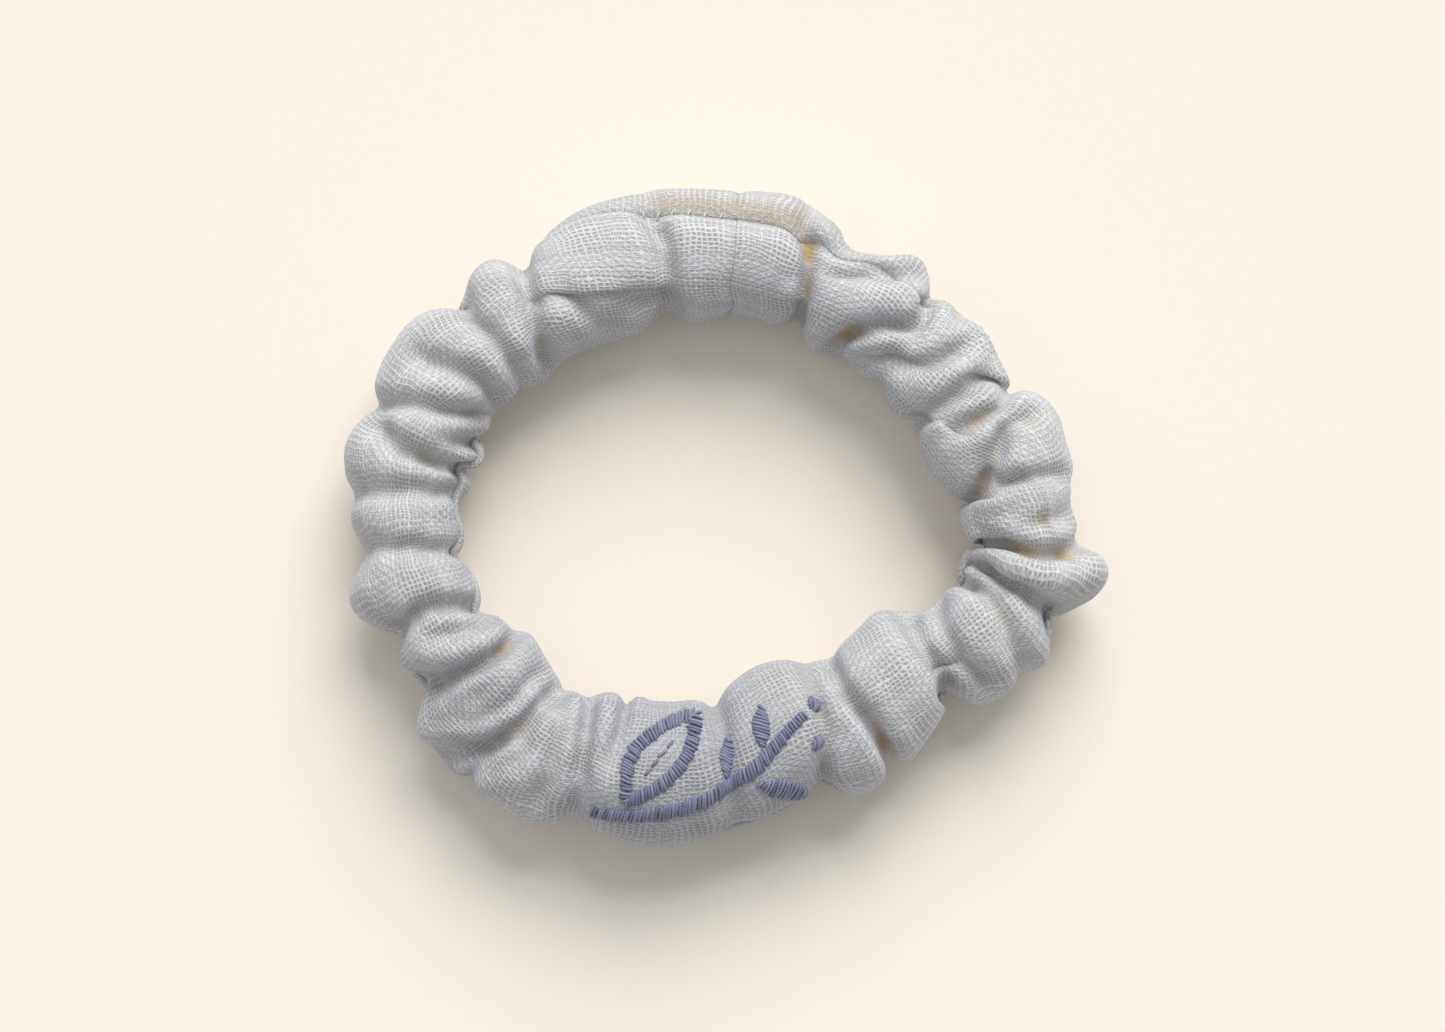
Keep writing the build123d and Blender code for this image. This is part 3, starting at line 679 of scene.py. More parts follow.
def mesh_piece(name, points, faces, values):
    """A smooth mesh object from points in millimetres, faces and values at its points."""
    mesh = bpy.data.meshes.new(name)
    mesh.from_pydata((np.asarray(points).reshape(-1, 3) * MM).tolist(), [], faces)
    mesh.shade_smooth()
    for key, value in values.items():
        kind, field = ("FLOAT", "value") if value.ndim == 1 else ("FLOAT_VECTOR", "vector")
        attribute = mesh.attributes.new(key, kind, "POINT")
        attribute.data.foreach_set(field, value.astype(np.float32).ravel())
    return placed(name, mesh)


def thickened(piece, thickness):
    """Gives a sheet its thickness, half to each side."""
    thick = piece.modifiers.new("thickness", "SOLIDIFY")
    thick.thickness, thick.offset = thickness * MM, 0


def quads(block):
    """Quads over an array of point numbers."""
    corners = [block[:-1, :-1], block[1:, :-1], block[1:, 1:], block[:-1, 1:]]
    return np.stack(corners, -1).reshape(-1, 4).tolist()


def grid_faces(rows, columns, around=False):
    """Quads over a grid of points, closed round its second direction if around."""
    index = np.arange(rows * columns).reshape(rows, columns)
    return quads(np.hstack([index, index[:, :1]]) if around else index)


def tubes(paths, radius, sides=6):
    """Closed round tubes along several open paths, as points, faces and how far along each point is."""
    points, faces, along = [], [], []
    turn = np.arange(sides) / sides * 2 * math.pi
    offset = 0
    for path, facing in paths:
        ahead = unit(np.gradient(path, axis=0))
        up = unit(facing - (facing * ahead).sum(1, keepdims=True) * ahead)
        across = np.cross(ahead, up)
        round_ends = np.ones(len(path))
        round_ends[[0, -1]] = 0.45
        ring = np.cos(turn)[None, :, None] * across[:, None] + np.sin(turn)[None, :, None] * up[:, None]
        points.append((path[:, None] + radius * round_ends[:, None, None] * ring).reshape(-1, 3))
        n = len(path)
        faces += [[offset + k for k in face] for face in grid_faces(n, sides, around=True)]
        faces.append([offset + k for k in range(sides)])
        faces.append([offset + (n - 1) * sides + k for k in reversed(range(sides))])
        step = lengths_along(path)
        coordinate = np.zeros((n, sides, 3))
        coordinate[..., 0], coordinate[..., 1], coordinate[..., 2] = step[:, None], turn, len(along)
        along.append(coordinate.reshape(-1, 3))
        offset += n * sides
    return np.vstack(points), faces, np.vstack(along)


def follow(piece):
    """Bakes the piece's placement into its mesh."""
    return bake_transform(piece)


# --- Materials ----------------------------------------------------------------------------------
class Shader:
    """A material with a Principled shader, and short names for the nodes that feed it."""

    def __init__(self, name, **sockets):
        self.material = bpy.data.materials.new(name)
        self.material.use_nodes = True
        self.tree = self.material.node_tree
        self.sockets = self.tree.nodes["Principled BSDF"].inputs
        for socket, value in sockets.items():
            self.sockets[socket.replace("_", " ")].default_value = value

    def feed(self, socket, value):
        if isinstance(value, bpy.types.NodeSocket):
            self.tree.links.new(value, socket)
        elif value is not None:
            socket.default_value = value

    def node(self, kind, *inputs, named=None, **settings):
        """The outputs of a new node, its inputs fed in order or by name."""
        node = self.tree.nodes.new("ShaderNode" + kind)
        for key, value in settings.items():
            setattr(node, key, value)
        for key, value in [*enumerate(inputs), *(named or {}).items()]:
            self.feed(node.inputs[key], value)
        return node.outputs

    def math(self, operation, *inputs):
        return self.node("Math", *inputs, operation=operation)[0]

    def vector(self, operation, *inputs):
        return self.node("VectorMath", *inputs, operation=operation)[0]

    def attribute(self, name, output="Fac"):
        return self.node("Attribute", attribute_name=name)[output]

    def place(self, name):
        """The three coordinates of an attribute."""
        return tuple(self.node("SeparateXYZ", self.attribute(name, "Vector")))

    def chance(self, number):
        """A random number from 0 to 1 for each whole number."""
        return self.node("TexWhiteNoise", None, number, noise_dimensions="1D")[0]

    def noise(self, vector, scale, detail=2.0, rough=0.5, output=0):
        named = {"Vector": vector, "Scale": scale, "Detail": detail, "Roughness": rough}
        return self.node("TexNoise", named=named)[output]

    def span(self, value, low, high, to_low=0.0, to_high=1.0):
        return self.node("MapRange", value, low, high, to_low, to_high, interpolation_type="SMOOTHSTEP")[0]

    def mix(self, factor, first, second, blend="MIX"):
        named = {0: factor, 6: first, 7: second}
        return self.node("Mix", named=named, data_type="RGBA", blend_type=blend)[2]

    def finished(self, base, height, distance, strength):
        """The material with its colour and its relief."""
        self.feed(self.sockets["Base Color"], base)
        named = {"Height": height, "Distance": distance, "Strength": strength}
        self.feed(self.sockets["Normal"], self.node("Bump", named=named)[0])
        return self.material


def colour(red, green, blue):
    """A linear colour from its 0 to 255 screen values."""
    return tuple(((c / 255 + 0.055) / 1.055) ** 2.4 for c in (red, green, blue)) + (1.0,)


WARP_PITCH, WEFT_PITCH = 0.60, 0.48  # between the gauze's yarns
YARN_WIDTH = 0.55  # share of the pitch
# Painted shade over the loop's lower side, with the cloth's own greyer, bluer tone round the embroidery.
SHADE_AND_GREY_TINT = (0.75, 0.75, 0.785, 1.0)  # what round the embroidery the cloth's colour is multiplied by
UNDER_SCALE, UNDER_SHIFT = (1.09, 0.93, 0.0), (0.3, 0.25, 0.0)  # of the second ply's yarns
WANDERS = [(0.22, 2.0, 1.6), (1.3, 1.0, 0.22)]  # of the yarns: scale, detail, reach


def yarns(m, along, across, pitch_along, pitch_across, width):
    """One set of yarns of a plain weave: its height at each point, 0 between the yarns."""
    place = m.math("DIVIDE", across, pitch_across)
    index = m.math("ROUND", place)
    chance = m.chance(index)
    half = m.span(chance, 0.0, 1.0, width * 0.38, width * 0.62)
    off = m.math("DIVIDE", m.math("SUBTRACT", place, index), half)
    crown = m.math("MAXIMUM", m.math("SUBTRACT", 1.0, m.math("MULTIPLY", off, off)), 0.0)
    phase = m.math("MULTIPLY", m.math("ADD", m.math("DIVIDE", along, pitch_along), index), math.pi)
    wave = m.math("MULTIPLY_ADD", m.math("COSINE", phase), 0.3, 0.7)
    return m.math("MULTIPLY", crown, wave), chance


def woven(m, place):
    """Both sets of yarns at a place on the cloth: the height, and a random number for the yarn."""
    u, v, _ = m.node("SeparateXYZ", place)
    first, chance = yarns(m, u, v, WARP_PITCH, WEFT_PITCH, YARN_WIDTH)
    second, _ = yarns(m, v, u, WEFT_PITCH, WARP_PITCH, 0.8 * YARN_WIDTH)
    return m.math("MAXIMUM", first, m.math("MULTIPLY", second, 0.92)), chance


def wander(m, cloth, scale, detail, reach):
    """An offset in the cloth's plane that changes smoothly from place to place."""
    offset = m.vector("SUBTRACT", m.noise(cloth, scale, detail, output="Color"), (0.5, 0.5, 0.5))
    return m.vector("MULTIPLY", offset, (reach, reach, 0.0))


def gauze(name, yarn, second_ply, gap, pocket_shade_colour):
    """Open plain weave: uneven yarns over gaps painted dark as shade, with painted yellowish shade deep in
    the folds.
    """
    m = Shader(name, Roughness=0.92, Sheen_Weight=0.45, Sheen_Roughness=0.4, Specular_IOR_Level=0.15)
    m.sockets["Sheen Tint"].default_value = (0.70, 0.74, 1.0, 1)
    cloth = m.attribute("cloth", "Vector")
    bent = cloth
    for scale, detail, reach in WANDERS:
        bent = m.vector("ADD", bent, wander(m, cloth, scale, detail, reach))
    height, chance = woven(m, bent)
    under, _ = woven(m, m.vector("MULTIPLY_ADD", bent, UNDER_SCALE, UNDER_SHIFT))
    fuzz = m.noise(bent, 7.0, 3.0, 0.75)
    soft = m.math("MULTIPLY", m.math("SUBTRACT", fuzz, 0.5), 0.5)
    cover = m.span(m.math("ADD", height, soft), 0.0, 0.8)
    beneath = m.span(m.math("ADD", under, soft), 0.0, 0.7)
    tone = m.math("MULTIPLY_ADD", chance, 0.1, m.math("MULTIPLY_ADD", fuzz, 0.16, 0.87))
    grey = m.node("CombineXYZ", tone, tone, tone)[0]
    # Painted shade inside the open weave: the second ply keeps its own colour but is painted darker under
    # the top yarns, and the gaps darker still.
    base = m.mix(1.0, m.mix(cover, m.mix(beneath, gap, second_ply), yarn), grey, "MULTIPLY")
    # Painted yellowish shade deep in the folds: noise patches where a point lies under its surroundings,
    # the listed pockets, and the yellow strip above the long seam.
    shade_patches = m.span(m.noise(cloth, 0.11, 3.0), 0.40, 0.72)
    pocket_shade_mask = m.math("MULTIPLY", m.span(m.attribute("hollow"), -0.15, 0.25), 0.3)
    deep = m.math("MULTIPLY_ADD", shade_patches, pocket_shade_mask, m.attribute("pocket_shade_and_strip"))
    base = m.mix(m.math("MINIMUM", deep, 0.95), base, pocket_shade_colour)
    # Painted shade darkens the loop's lower side, over the cloth's own greyer, bluer tone round the sprig.
    base = m.mix(m.attribute("grey"), base, m.mix(1.0, base, SHADE_AND_GREY_TINT, "MULTIPLY"))
    relief = m.math("MULTIPLY_ADD", fuzz, 0.25, m.math("MULTIPLY_ADD", under, 0.4, height))
    return m.finished(base, relief, 0.0001, 0.8)


def satin_thread():
    """Lilac-grey rayon: fine twisted strands along each stitch, shinier than the cloth, with painted shade
    in the grooves between them.
    """
    looks = {"Roughness": 0.42, "Sheen_Weight": 0.2, "Specular_IOR_Level": 0.45, "Anisotropic": 0.5}
    m = Shader("embroidery_rayon", **looks)
    along, turn, number = m.place("thread")
    twist = m.math("MULTIPLY_ADD", along, 9.0, turn)
    strand = m.math("SINE", m.math("MULTIPLY", twist, 3.0))
    # Painted shade in the grooves between the strands, over each thread's own random tone.
    shade = m.math("MULTIPLY_ADD", strand, 0.2, m.math("MULTIPLY_ADD", m.chance(number), 0.7, 0.15))
    return m.finished(m.mix(shade, colour(104, 105, 130), colour(158, 158, 184)), strand, 0.00004, 0.6)


def spun_thread(name, dark, light):
    """Plain sewing thread with its plies' twist, and painted shade in the grooves between the plies."""
    m = Shader(name, Roughness=0.75, Sheen_Weight=0.15, Specular_IOR_Level=0.2)
    along, turn, _ = m.place("thread")
    twist = m.math("SINE", m.math("MULTIPLY_ADD", along, 6.0, m.math("MULTIPLY", turn, 2.0)))
    # Painted shade: the colour goes dark where the twist's relief is low.
    return m.finished(m.mix(m.math("MULTIPLY_ADD", twist, 0.5, 0.5), dark, light), twist, 0.00003, 0.7)


def braid():
    """Flat braid: a chevron of crossing strands, with painted shade in its low grooves."""
    m = Shader("elastic_braid", Roughness=0.7, Sheen_Weight=0.2, Specular_IOR_Level=0.25)
    along, across, _ = m.place("thread")
    fold = m.math("PINGPONG", across, 0.32)
    chevron = m.math("SINE", m.math("MULTIPLY", m.math("ADD", along, fold), 8.5))
    rib = m.math("SINE", m.math("MULTIPLY", across, 9.8))
    height = m.math("MULTIPLY_ADD", chevron, 0.5, rib)
    # Painted shade: the colour goes dark where the braid's relief is low.
    base = m.mix(m.span(height, -1.2, 1.2), colour(196, 194, 188), colour(240, 240, 238))
    return m.finished(base, height, 0.00012, 0.8)


def rubber():
    """Dusty natural rubber."""
    m = Shader("rubber_strand", Roughness=0.6, Specular_IOR_Level=0.35)
    dust = m.noise(m.place("thread")[0], 3.0, 3.0)
    return m.finished(m.mix(dust, colour(198, 180, 140), colour(224, 210, 178)), dust, 0.00003, 0.5)


def felt():
    """Cut-away backing: short fibres pressed at random."""
    m = Shader("cutaway_backing", Roughness=0.95, Sheen_Weight=0.2, Specular_IOR_Level=0.1)
    fibres = m.noise(m.attribute("cloth", "Vector"), 4.0, 5.0, 0.8)
    return m.finished(m.mix(fibres, colour(214, 213, 210), colour(245, 245, 243)), fibres, 0.0001, 0.7)


FACE_GAUZE = gauze(
    "face_gauze",
    yarn=colour(217, 217, 219),
    # second ply and gaps painted darker as shade under the top yarns
    second_ply=colour(202, 201, 195),
    gap=colour(170, 167, 153),
    # painted yellowish shade for the folds' hollows
    pocket_shade_colour=colour(188, 161, 114),
)
LINING_GAUZE = gauze(
    "lining_gauze",
    yarn=colour(214, 211, 200),
    # second ply and gaps painted darker as shade under the top yarns
    second_ply=colour(184, 180, 166),
    gap=colour(136, 131, 116),
    # painted yellowish shade for the folds' hollows
    pocket_shade_colour=colour(190, 165, 120),
)
SATIN = satin_thread()
SEWING = spun_thread("sewing_thread", colour(196, 192, 180), colour(236, 234, 228))
BOBBIN = spun_thread("bobbin_thread", colour(214, 214, 212), colour(244, 244, 242))
BRAID = braid()
RUBBER = rubber()
FELT = felt()


def finish_piece(piece, material, slot, *nodes):
    """Gives a new piece its material, hides what it stands for, and bakes its placement into its mesh; the
    slot is not used.
    """
    piece.data.materials.append(material)
    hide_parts(*nodes)
    return follow(piece)


# --- The cover ----------------------------------------------------------------------------------
def seam_dip(column, row):
    """How far the cloth draws in along the long seam and the end seam."""
    girth = np.mod(row + FINE_ROWS / 2, FINE_ROWS) - FINE_ROWS / 2
    length = np.mod(column + FINE_COLUMNS / 2, FINE_COLUMNS) - FINE_COLUMNS / 2
    long_seam = np.exp(-((girth * GIRTH / FINE_ROWS / DIP_REACH) ** 2))
    end_seam = np.exp(-((length * LAYOUT.length / FINE_COLUMNS / DIP_REACH) ** 2))
    return np.maximum(LONG_DIP * long_seam, END_DIP * end_seam)


def spread_along(values):
    """Values averaged with their neighbours along the first axis."""
    for _ in range(3):
        values = (np.roll(values, 1, 0) + 2 * values + np.roll(values, -1, 0)) / 4
    return values


def allowance(edge, next_in, axis_points, side):
    """The seam allowance behind one edge: rows of points turned in towards the tube's axis."""
    inward = unit(axis_points - edge)
    aside = unit(next_in - edge)
    aside = unit(aside - (aside * inward).sum(-1, keepdims=True) * inward)
    for _ in range(6):
        inward, aside = (unit(np.roll(a, 1, 0) + 2 * a + np.roll(a, -1, 0)) for a in (inward, aside))
    depths, leans = np.array(FLAP_DEPTHS), side * np.array(FLAP_LEANS)
    flap = edge[:, None] + depths[:, None] * inward[:, None] + leans[:, None] * aside[:, None]
    flap[:, 1:] = kept_inside(flap[:, 1:], INSIDE)
    height, _ = above_cloth(flap.reshape(-1, 3))
    poking = spread_along((height.reshape(flap.shape[:2]) > POKING).astype(float))
    for k in range(1, flap.shape[1]):
        close = flap[:, k - 1] + PINCHED * inward
        flap[:, k] += np.clip(3 * poking[:, k:k + 1], 0, 1) * (close - flap[:, k])
    return flap


def blots(points, places, share=1.0):
    """How strongly soft-edged round places in plan colour the cloth at its points."""
    strongest_yet = np.zeros(len(points))
    for (x, y), reach, strength in places:
        far = ((points[:, :2] - (x, y)) ** 2).sum(-1) / (share * reach) ** 2
        strongest_yet = np.maximum(strongest_yet, strength * np.exp(-far))
    return strongest_yet


def pocket_shade_and_strip_at(points, hollow):
    """How strongly the cloth is painted yellowish: painted shade in the pockets between its folds, and a
    yellow strip above the long seam.
    """
    pocket_shade_mask = np.clip((hollow + 0.15) / 0.4, 0, 1)
    strip = height_at(strongest([WARM_STRIP]), points) * (points[:, 2] > TUBE_Z)
    return np.maximum(blots(points, POCKET_SHADE_PLACES, POCKET_SHADE_REACH) * pocket_shade_mask, strip)


def ply(name, offset, material, slot, side, every):
    """One ply of the gauze, cut open at both seams, with its allowances turned inside. Each allowance leans
    that far to its own side, and only every so many of the fine cloth's rows and columns are used."""
    columns = np.arange(0, FINE_COLUMNS + 1, every)
    rows = np.arange(0, FINE_ROWS + 1, every)
    i, j = np.meshgrid(columns, rows, indexing="ij")
    a, b = i % FINE_COLUMNS, j % FINE_ROWS
    points = FINE[a, b] + (offset - seam_dip(i, j))[..., None] * FACING[a, b]
    index = np.arange(i.size).reshape(i.shape)
    axis = spread(FINE, 2).mean(1)[a[:, 0]]
    axis_end = np.repeat(axis[:1], len(rows), 0)
    edges = [
        (index[:, 0], points[:, 0], points[:, 1], axis, (0, -1)),
        (index[:, -1], points[:, -1], points[:, -2], axis, (0, 1)),
        (index[0], points[0], points[1], axis_end, (-1, 0)),
        (index[-1], points[-1], points[-2], axis_end, (1, 0)),
    ]
    faces, count = quads(index), index.size
    blocks, hollows = [points.reshape(-1, 3)], [HOLLOW[a, b].ravel()]
    cut = [np.stack([i * LAYOUT.length / FINE_COLUMNS, j * GIRTH / FINE_ROWS, 0 * i], -1).reshape(-1, 3)]
    for numbers, edge, next_in, centre, (du, dv) in edges:
        flap = allowance(edge, next_in, centre, side)
        deep = np.arange(1, flap.shape[1] + 1) / flap.shape[1] * ALLOWANCE
        own = count + np.arange(flap.shape[0] * flap.shape[1]).reshape(flap.shape[:2])
        faces += quads(np.hstack([numbers[:, None], own]))
        count += own.size
        blocks.append(flap.reshape(-1, 3))
        hollows.append(np.zeros(own.size))
        cut.append((cut[0][numbers][:, None] + deep[None, :, None] * np.array([du, dv, 0])).reshape(-1, 3))
    points, hollow = np.vstack(blocks), np.concatenate(hollows)
    values = {
        "cloth": np.vstack(cut),
        "hollow": hollow,
        # painted yellowish shade in the folds' pockets, and the yellow strip above the long seam
        "pocket_shade_and_strip": pocket_shade_and_strip_at(points, hollow),
        # painted shade on the loop's lower side, and the cloth's greyer tone round the sprig
        "grey": blots(points, SHADE_AND_GREY_PLACES),
    }
    piece = mesh_piece(name, points, faces, values)
    thickened(piece, PLY)
    finish_piece(piece, material, slot, name + "_left", name + "_right")


# --- Threads ------------------------------------------------------------------------------------
def thread_piece(name, paths, radius, material, slot, *nodes):
    """A piece of round thread along its paths."""
    points, faces, along = tubes(paths, radius)
    piece = mesh_piece(name, points, faces, {"thread": along})
    return finish_piece(piece, material, slot, *nodes)


def curve(corners, step):
    """Points an even step apart along a line that rounds its corners."""
    line = np.array(corners, float)
    for _ in range(4):
        low, high = 0.75 * line[:-1] + 0.25 * line[1:], 0.25 * line[:-1] + 0.75 * line[1:]
        line = np.vstack([line[:1], np.stack([low, high], 1).reshape(-1, 2), line[-1:]])
    along = lengths_along(line)
    even = np.linspace(0, along[-1], max(2, round(along[-1] / step) + 1))
    return resampled(line, along, even)


def sides_of(line, width, slant):
    """The two ends of each stitch across a line, leaning forward by slant of their width."""
    ahead = unit(np.gradient(line, axis=0))
    left = np.stack([-ahead[:, 1], ahead[:, 0]], 1)
    reach = 0.5 * np.reshape(width, (-1, 1))
    return line + reach * (left + slant * ahead), line - reach * (left + slant * ahead)


def leaf_edges(base, tip, bulge, count):
    """Points along a leaf's two sides, from its base to its tip."""
    base, tip = np.array(base), np.array(tip)
    t = np.linspace(0, 1, count)[:, None]
    axis = tip - base
    across = unit(np.array([-axis[1], axis[0]]))
    width = bulge * np.sin(math.pi * t) ** 0.8
    middle = base + t * axis
    return middle + width * across, middle - width * across


def laid(a, b, rise, random):
    """A stitch laid between two points in plan: its ends sink into the cloth, its middle stands up."""
    a, b = a + random.normal(0, STRAY, 2), b + random.normal(0, STRAY, 2)
    t = np.linspace(0, 1, 9)[:, None]
    column, row = LAYOUT.spot(a * (1 - t) + b * t)
    arch = np.sin(math.pi * t[:, 0]) ** 0.5
    height = CLOTH_TOP - SINK + (rise + SINK) * arch
    return on_cloth(column, row, height), unit(sample(FACING, column, row))


def satin(name, lefts, rights, random, rise=0.3):
    """Satin stitch: threads laid side by side from one edge to the other, back and forth."""
    paths = [laid(a, b, rise, random) for a, b in zip(lefts, rights)]
    thread_piece(name, paths, SATIN_R, SATIN, "embroidery_thread", name)


def stem(random):
    line = curve(STEM, STITCH_PITCH)
    width = STEM_WIDTH * (0.75 + 0.35 * np.sin(np.linspace(0.3, 2.9, len(line))))
    satin("embroidery_stem", *sides_of(line, width, 0.35), random)


def large_leaf(random):
    base, tip, bulge = LARGE_LEAF
    left, right = leaf_edges(base, tip, bulge - LEAF_OUTLINE / 2, 40)
    ring = np.vstack([left, right[::-1][1:]])
    along = lengths_along(ring)
    even = np.linspace(0, along[-1], round(along[-1] / STITCH_PITCH))
    ring = resampled(ring, along, even)
    satin("embroidery_large_leaf", *sides_of(ring, LEAF_OUTLINE, 0.3), random)


def leaf_vein(random):
    base, tip, _ = (np.array(p) for p in LARGE_LEAF)
    stops = np.linspace(*VEIN_SPAN, 5)
    ends = [base + (tip - base) * stop for stop in stops]
    satin("embroidery_leaf_vein", ends[:-1], [e - 0.12 * (tip - base) / 9 for e in ends[1:]], random, 0.12)


def small_leaves(random):
    for k, (base, tip, bulge) in enumerate(SMALL_LEAVES, 1):
        length = math.dist(base, tip)
        left, right = leaf_edges(base, tip, bulge, round(length / STITCH_PITCH) + 1)
        lean = 0.35 * unit(np.array(tip) - np.array(base))
        satin(f"embroidery_small_leaf_{k}", left[1:-1] + lean, right[1:-1] - lean, random)


def buds(random):
    for k, (centre, radius) in enumerate(BUDS, 1):
        turn = np.linspace(-0.8, 0.8, round(2 * radius / STITCH_PITCH) + 1) * radius
        half = np.sqrt(radius**2 - turn**2)
        lefts = np.stack([centre[0] + turn, centre[1] + half], 1)
        rights = np.stack([centre[0] + turn, centre[1] - half], 1)
        satin(f"embroidery_bud_{k}", lefts, rights, random)


def bobbin_thread(random):
    """The bobbin's thread on the wrong side, zigzagging under each satin column."""
    paths = []
    lines = [curve(STEM, 0.5)] + [curve(leaf[:2], 0.5) for leaf in (LARGE_LEAF, *SMALL_LEAVES)]
    for line in lines:
        left, right = sides_of(line, 0.5, 0.0)
        zigzag = np.where(np.arange(len(line))[:, None] % 2, left, right)
        column, row = LAYOUT.spot(zigzag)
        paths.append(inside(column, row, np.full(len(line), BOBBIN_DEPTH)))
    name = "embroidery_bobbin_thread"
    thread_piece(name, paths, BOBBIN_R, BOBBIN, "bobbin_thread", name)


def backing():
    """Cut-away backing behind the sprig, on the wrong side."""
    t, w = np.meshgrid(np.linspace(-0.5, 0.5, 40), np.linspace(-0.5, 0.5, 18), indexing="ij")
    turn = math.radians(PATCH_TURN)
    along, across = np.array([math.cos(turn), math.sin(turn)]), np.array([-math.sin(turn), math.cos(turn)])
    plan = np.array(PATCH_CENTRE) + t[..., None] * PATCH_SIZE[0] * along
    plan = plan + w[..., None] * PATCH_SIZE[1] * across
    column, row = LAYOUT.spot(plan.reshape(-1, 2))
    points, _ = inside(column, row, np.full(column.shape, PATCH_DEPTH))
    cloth = np.hstack([plan.reshape(-1, 2), np.zeros((len(points), 1))])
    piece = mesh_piece("embroidery_backing", points, grid_faces(*t.shape), {"cloth": cloth})
    thickened(piece, PATCH_THICK)
    finish_piece(piece, FELT, "backing", "embroidery_backing")


def embroidery():
    random = np.random.default_rng(11)
    stem(random)
    large_leaf(random)
    leaf_vein(random)
    small_leaves(random)
    buds(random)
    bobbin_thread(random)
    backing()


def seam_lines(name, lines, *nodes):
    """Lines of stitches through the seam allowances, each given by its columns and rows on the cloth."""
    paths = []
    for column, row in lines:
        wave = SEAM_WAVE * np.cos(np.arange(len(column)) * math.pi / 2)
        paths.append(inside(column, row, SEAM_DEPTH + wave))
    thread_piece(name, paths, SEWING_R, SEWING, "sewing_thread", *nodes)


def seams():
    """Two lines of stitches, one each side, along the long seam and round the end seam."""
    column, rows_out = np.arange(6, COLUMNS - 5, 0.75), SEAM_OUT * ROWS / GIRTH
    lines = [(column, np.full(column.shape, side * rows_out)) for side in (-1, 1)]
    seam_lines("long_seam_thread", lines, "long_seam_thread_left", "long_seam_thread_right")
    row, columns_out = np.arange(2, ROWS - 1.5, 0.5), SEAM_OUT * COLUMNS / LAYOUT.length
    lines = [(np.full(row.shape, side * columns_out), row) for side in (-1, 1)]
    seam_lines("end_seam_thread", lines, "end_seam_thread")


def closing_stitches():
    """Slip stitches across the long seam, which close the gap the tube was turned through."""
    paths = []
    for k in range(CLOSING_COUNT):
        s = CLOSING_PITCH * (k + 1)
        t = np.linspace(0, 1, 7)
        column = LAYOUT.column_of(s + CLOSING_SLANT * (t - 0.5))
        row = (t - 0.5) * CLOSING_STITCH * ROWS / GIRTH
        height = CLOTH_TOP - CLOSING_SINK + CLOSING_RISE * np.sin(math.pi * t)
        paths.append((on_cloth(column, row, height), unit(sample(FACING, column, row))))
    thread_piece("closing_thread", paths, CLOSING_R, SEWING, "sewing_thread", "closing_thread")


# --- Elastic ------------------------------------------------------------------------------------
def elastic_line(across, up, extra=0.0):
    """A path along the elastic, at an offset outward and upward of its middle."""
    q = np.linspace(-extra, LOOP.length + LAP + extra, ELASTIC_POINTS)
    share = np.clip((q - LAP) / (LOOP.length - LAP), 0, 1)
    inset = -ELASTIC_INSET + LAP_STEP * share
    p, _, n = LOOP.at(q - LAP / 2)
    points = np.concatenate([p + (inset + across)[:, None] * n, np.full((len(q), 1), TUBE_Z + up)], 1)
    return points, np.concatenate([n, np.zeros((len(q), 1))], 1), q


def elastic_jacket():
    """The braid: a flat band with round edges, its ends lapped."""
    turn = (np.arange(ELASTIC_SIDES) + 0.5) / ELASTIC_SIDES * 2 * math.pi
    thick = ELASTIC_THICK / 2 * np.sign(np.cos(turn)) * np.abs(np.cos(turn)) ** SQUARENESS
    wide = ELASTIC_WIDTH / 2 * np.sign(np.sin(turn)) * np.abs(np.sin(turn)) ** SQUARENESS
    rings, coordinates = [], []
    for across, up in zip(thick, wide):
        points, _, q = elastic_line(across, up)
        rings.append(points)
        coordinates.append(np.stack([q, np.full_like(q, up), np.full_like(q, across)], 1))
    points, thread = np.stack(rings, 1), np.stack(coordinates, 1)
    n, m = points.shape[:2]
    faces = grid_faces(n, m, around=True)
    faces += [list(range(m)), [(n - 1) * m + k for k in reversed(range(m))]]
    piece = mesh_piece("elastic_jacket", points.reshape(-1, 3), faces, {"thread": thread.reshape(-1, 3)})
    finish_piece(piece, BRAID, "elastic_braid", "elastic_jacket_left", "elastic_jacket_right")


def elastic_cores():
    """The rubber strands inside the braid, which just show at its cut ends."""
    pitch = (ELASTIC_WIDTH - 2 * STRAND_R) / STRANDS
    paths = []
    for k in range(STRANDS):
        points, facing, _ = elastic_line(0.0, (k - (STRANDS - 1) / 2) * pitch, extra=0.15)
        paths.append((points, facing))
    thread_piece(
        "elastic_cores", paths, STRAND_R, RUBBER, "rubber_strand",
        "elastic_cores_left", "elastic_cores_right",
    )


def elastic_join():
    """Zigzag stitches on both faces of the elastic's lap."""
    zigs = int(LAP / ZIG_PITCH) - 1
    near = -ELASTIC_INSET - ELASTIC_THICK / 2 - ZIG_OFF
    far = -ELASTIC_INSET + LAP_STEP + ELASTIC_THICK / 2 + ZIG_OFF
    paths = []
    for out in (near, far):
        t = np.linspace(0, zigs, zigs * 6 + 1)
        s = (t - zigs / 2) * ZIG_PITCH
        up = ZIG_REACH * np.abs(np.mod(t, 2) - 1) * 2 - ZIG_REACH
        p, _, n = LOOP.at(s)
        points = np.concatenate([p + out * n, (TUBE_Z + up)[:, None]], 1)
        paths.append((points, np.concatenate([n, np.zeros((len(t), 1))], 1)))
    thread_piece("elastic_join_thread", paths, SEWING_R, SEWING, "sewing_thread", "elastic_join_thread")


elastic_jacket()
ply("cover_face", PLY_OFFSET, FACE_GAUZE, "face_gauze", side=0.2, every=1)
ply("cover_lining", -PLY_OFFSET, LINING_GAUZE, "lining_gauze", side=0.55, every=2)
seams()
closing_stitches()
elastic_cores()
elastic_join()
embroidery()


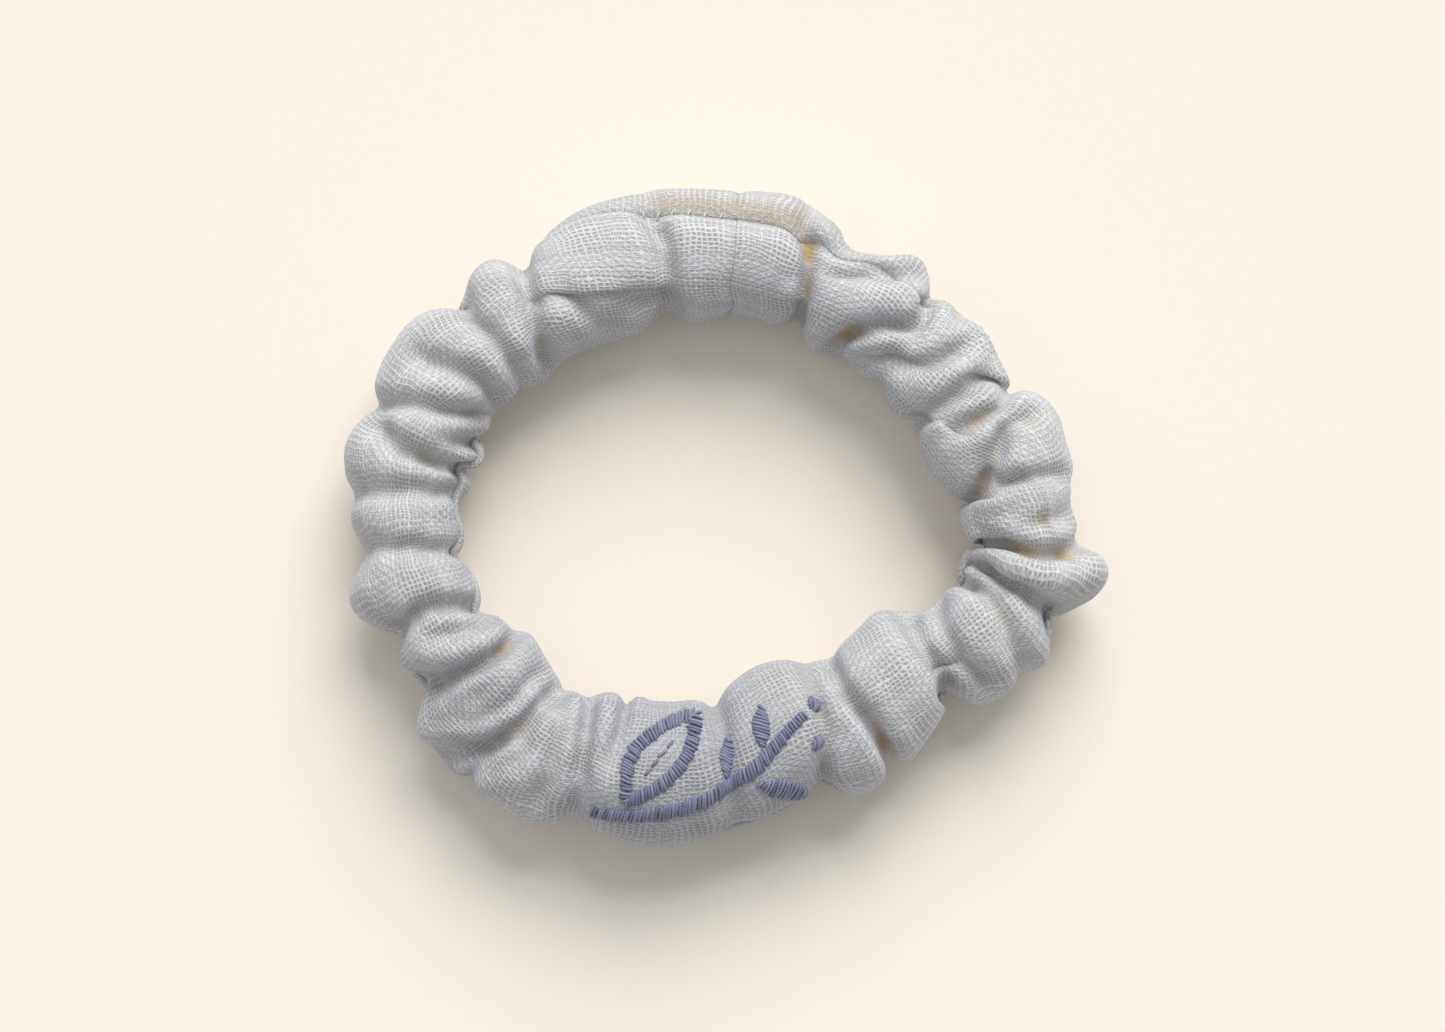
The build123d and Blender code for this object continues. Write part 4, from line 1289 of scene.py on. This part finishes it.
# --- Surroundings, in metres --------------------------------------------------------------------
FLOOR_HALF, FLOOR_Z = 2, -0.0002
CAMERA_DISTANCE, CAMERA_ELEVATION = 0.45, 85  # from the loop's middle, and in degrees
VIEW_WIDTH, SENSOR_WIDTH = 0.1606, 36  # what the picture spans at the loop, and the sensor in its own mm
FLOOR_DARK, FLOOR_LIGHT, FLOOR_GRAIN = (0.95, 0.87, 0.74, 1), (0.97, 0.89, 0.76, 1), 900.0
SKY, SKY_STRENGTH = (0.87, 0.91, 1.0, 1), 0.43


def floor():
    """A sheet of cream paper under the loop."""
    mesh = bpy.data.meshes.new("floor")
    corners = [(x * FLOOR_HALF, y * FLOOR_HALF, FLOOR_Z) for x, y in ((-1, -1), (1, -1), (1, 1), (-1, 1))]
    mesh.from_pydata(corners, [], [(0, 1, 2, 3)])
    piece = placed("floor", mesh)
    m = Shader("floor_paper", Roughness=0.95, Specular_IOR_Level=0.05)
    grain = m.noise(m.node("TexCoord")["Object"], FLOOR_GRAIN)
    m.feed(m.sockets["Base Color"], m.mix(grain, FLOOR_DARK, FLOOR_LIGHT))
    mesh.materials.append(m.material)


def sun(name, direction, strength, spread_angle, tint):
    """A sun that shines from a direction, as wide as its angle in degrees."""
    data = bpy.data.lights.new(name, "SUN")
    data.energy, data.angle, data.color = strength, math.radians(spread_angle), tint
    light = placed(name, data)
    light.location = Vector(direction)
    light.rotation_euler = (-Vector(direction)).to_track_quat("-Z", "Y").to_euler()


def studio():
    """A broad key from behind, a little to the right, a weak fill from the left, and a pale sky."""
    sun("key", (0.22, 0.88, 0.76), strength=2.9, spread_angle=45, tint=(0.97, 0.98, 1.0))
    sun("fill", (-0.7, 0.2, 0.9), strength=0.25, spread_angle=60, tint=(0.94, 0.96, 1.0))
    world = bpy.data.worlds.new("studio")
    world.use_nodes = True
    background = world.node_tree.nodes["Background"].inputs
    background["Color"].default_value, background["Strength"].default_value = SKY, SKY_STRENGTH
    bpy.context.scene.world = world
    bpy.context.scene.view_settings.view_transform = "Standard"


def camera():
    """Nearly straight down on the loop, a little from the front."""
    data = bpy.data.cameras.new("camera")
    eye = placed("camera", data)
    target = Vector((0, 0, TUBE_Z * MM))
    elevation = math.radians(CAMERA_ELEVATION)
    eye.location = target + CAMERA_DISTANCE * Vector((0, -math.cos(elevation), math.sin(elevation)))
    eye.rotation_euler = (target - eye.location).to_track_quat("-Z", "Y").to_euler()
    data.sensor_width = SENSOR_WIDTH
    data.lens = SENSOR_WIDTH * CAMERA_DISTANCE / VIEW_WIDTH
    data.clip_start, data.clip_end = 0.01, 10
    bpy.context.scene.camera = eye


floor()
studio()
camera()
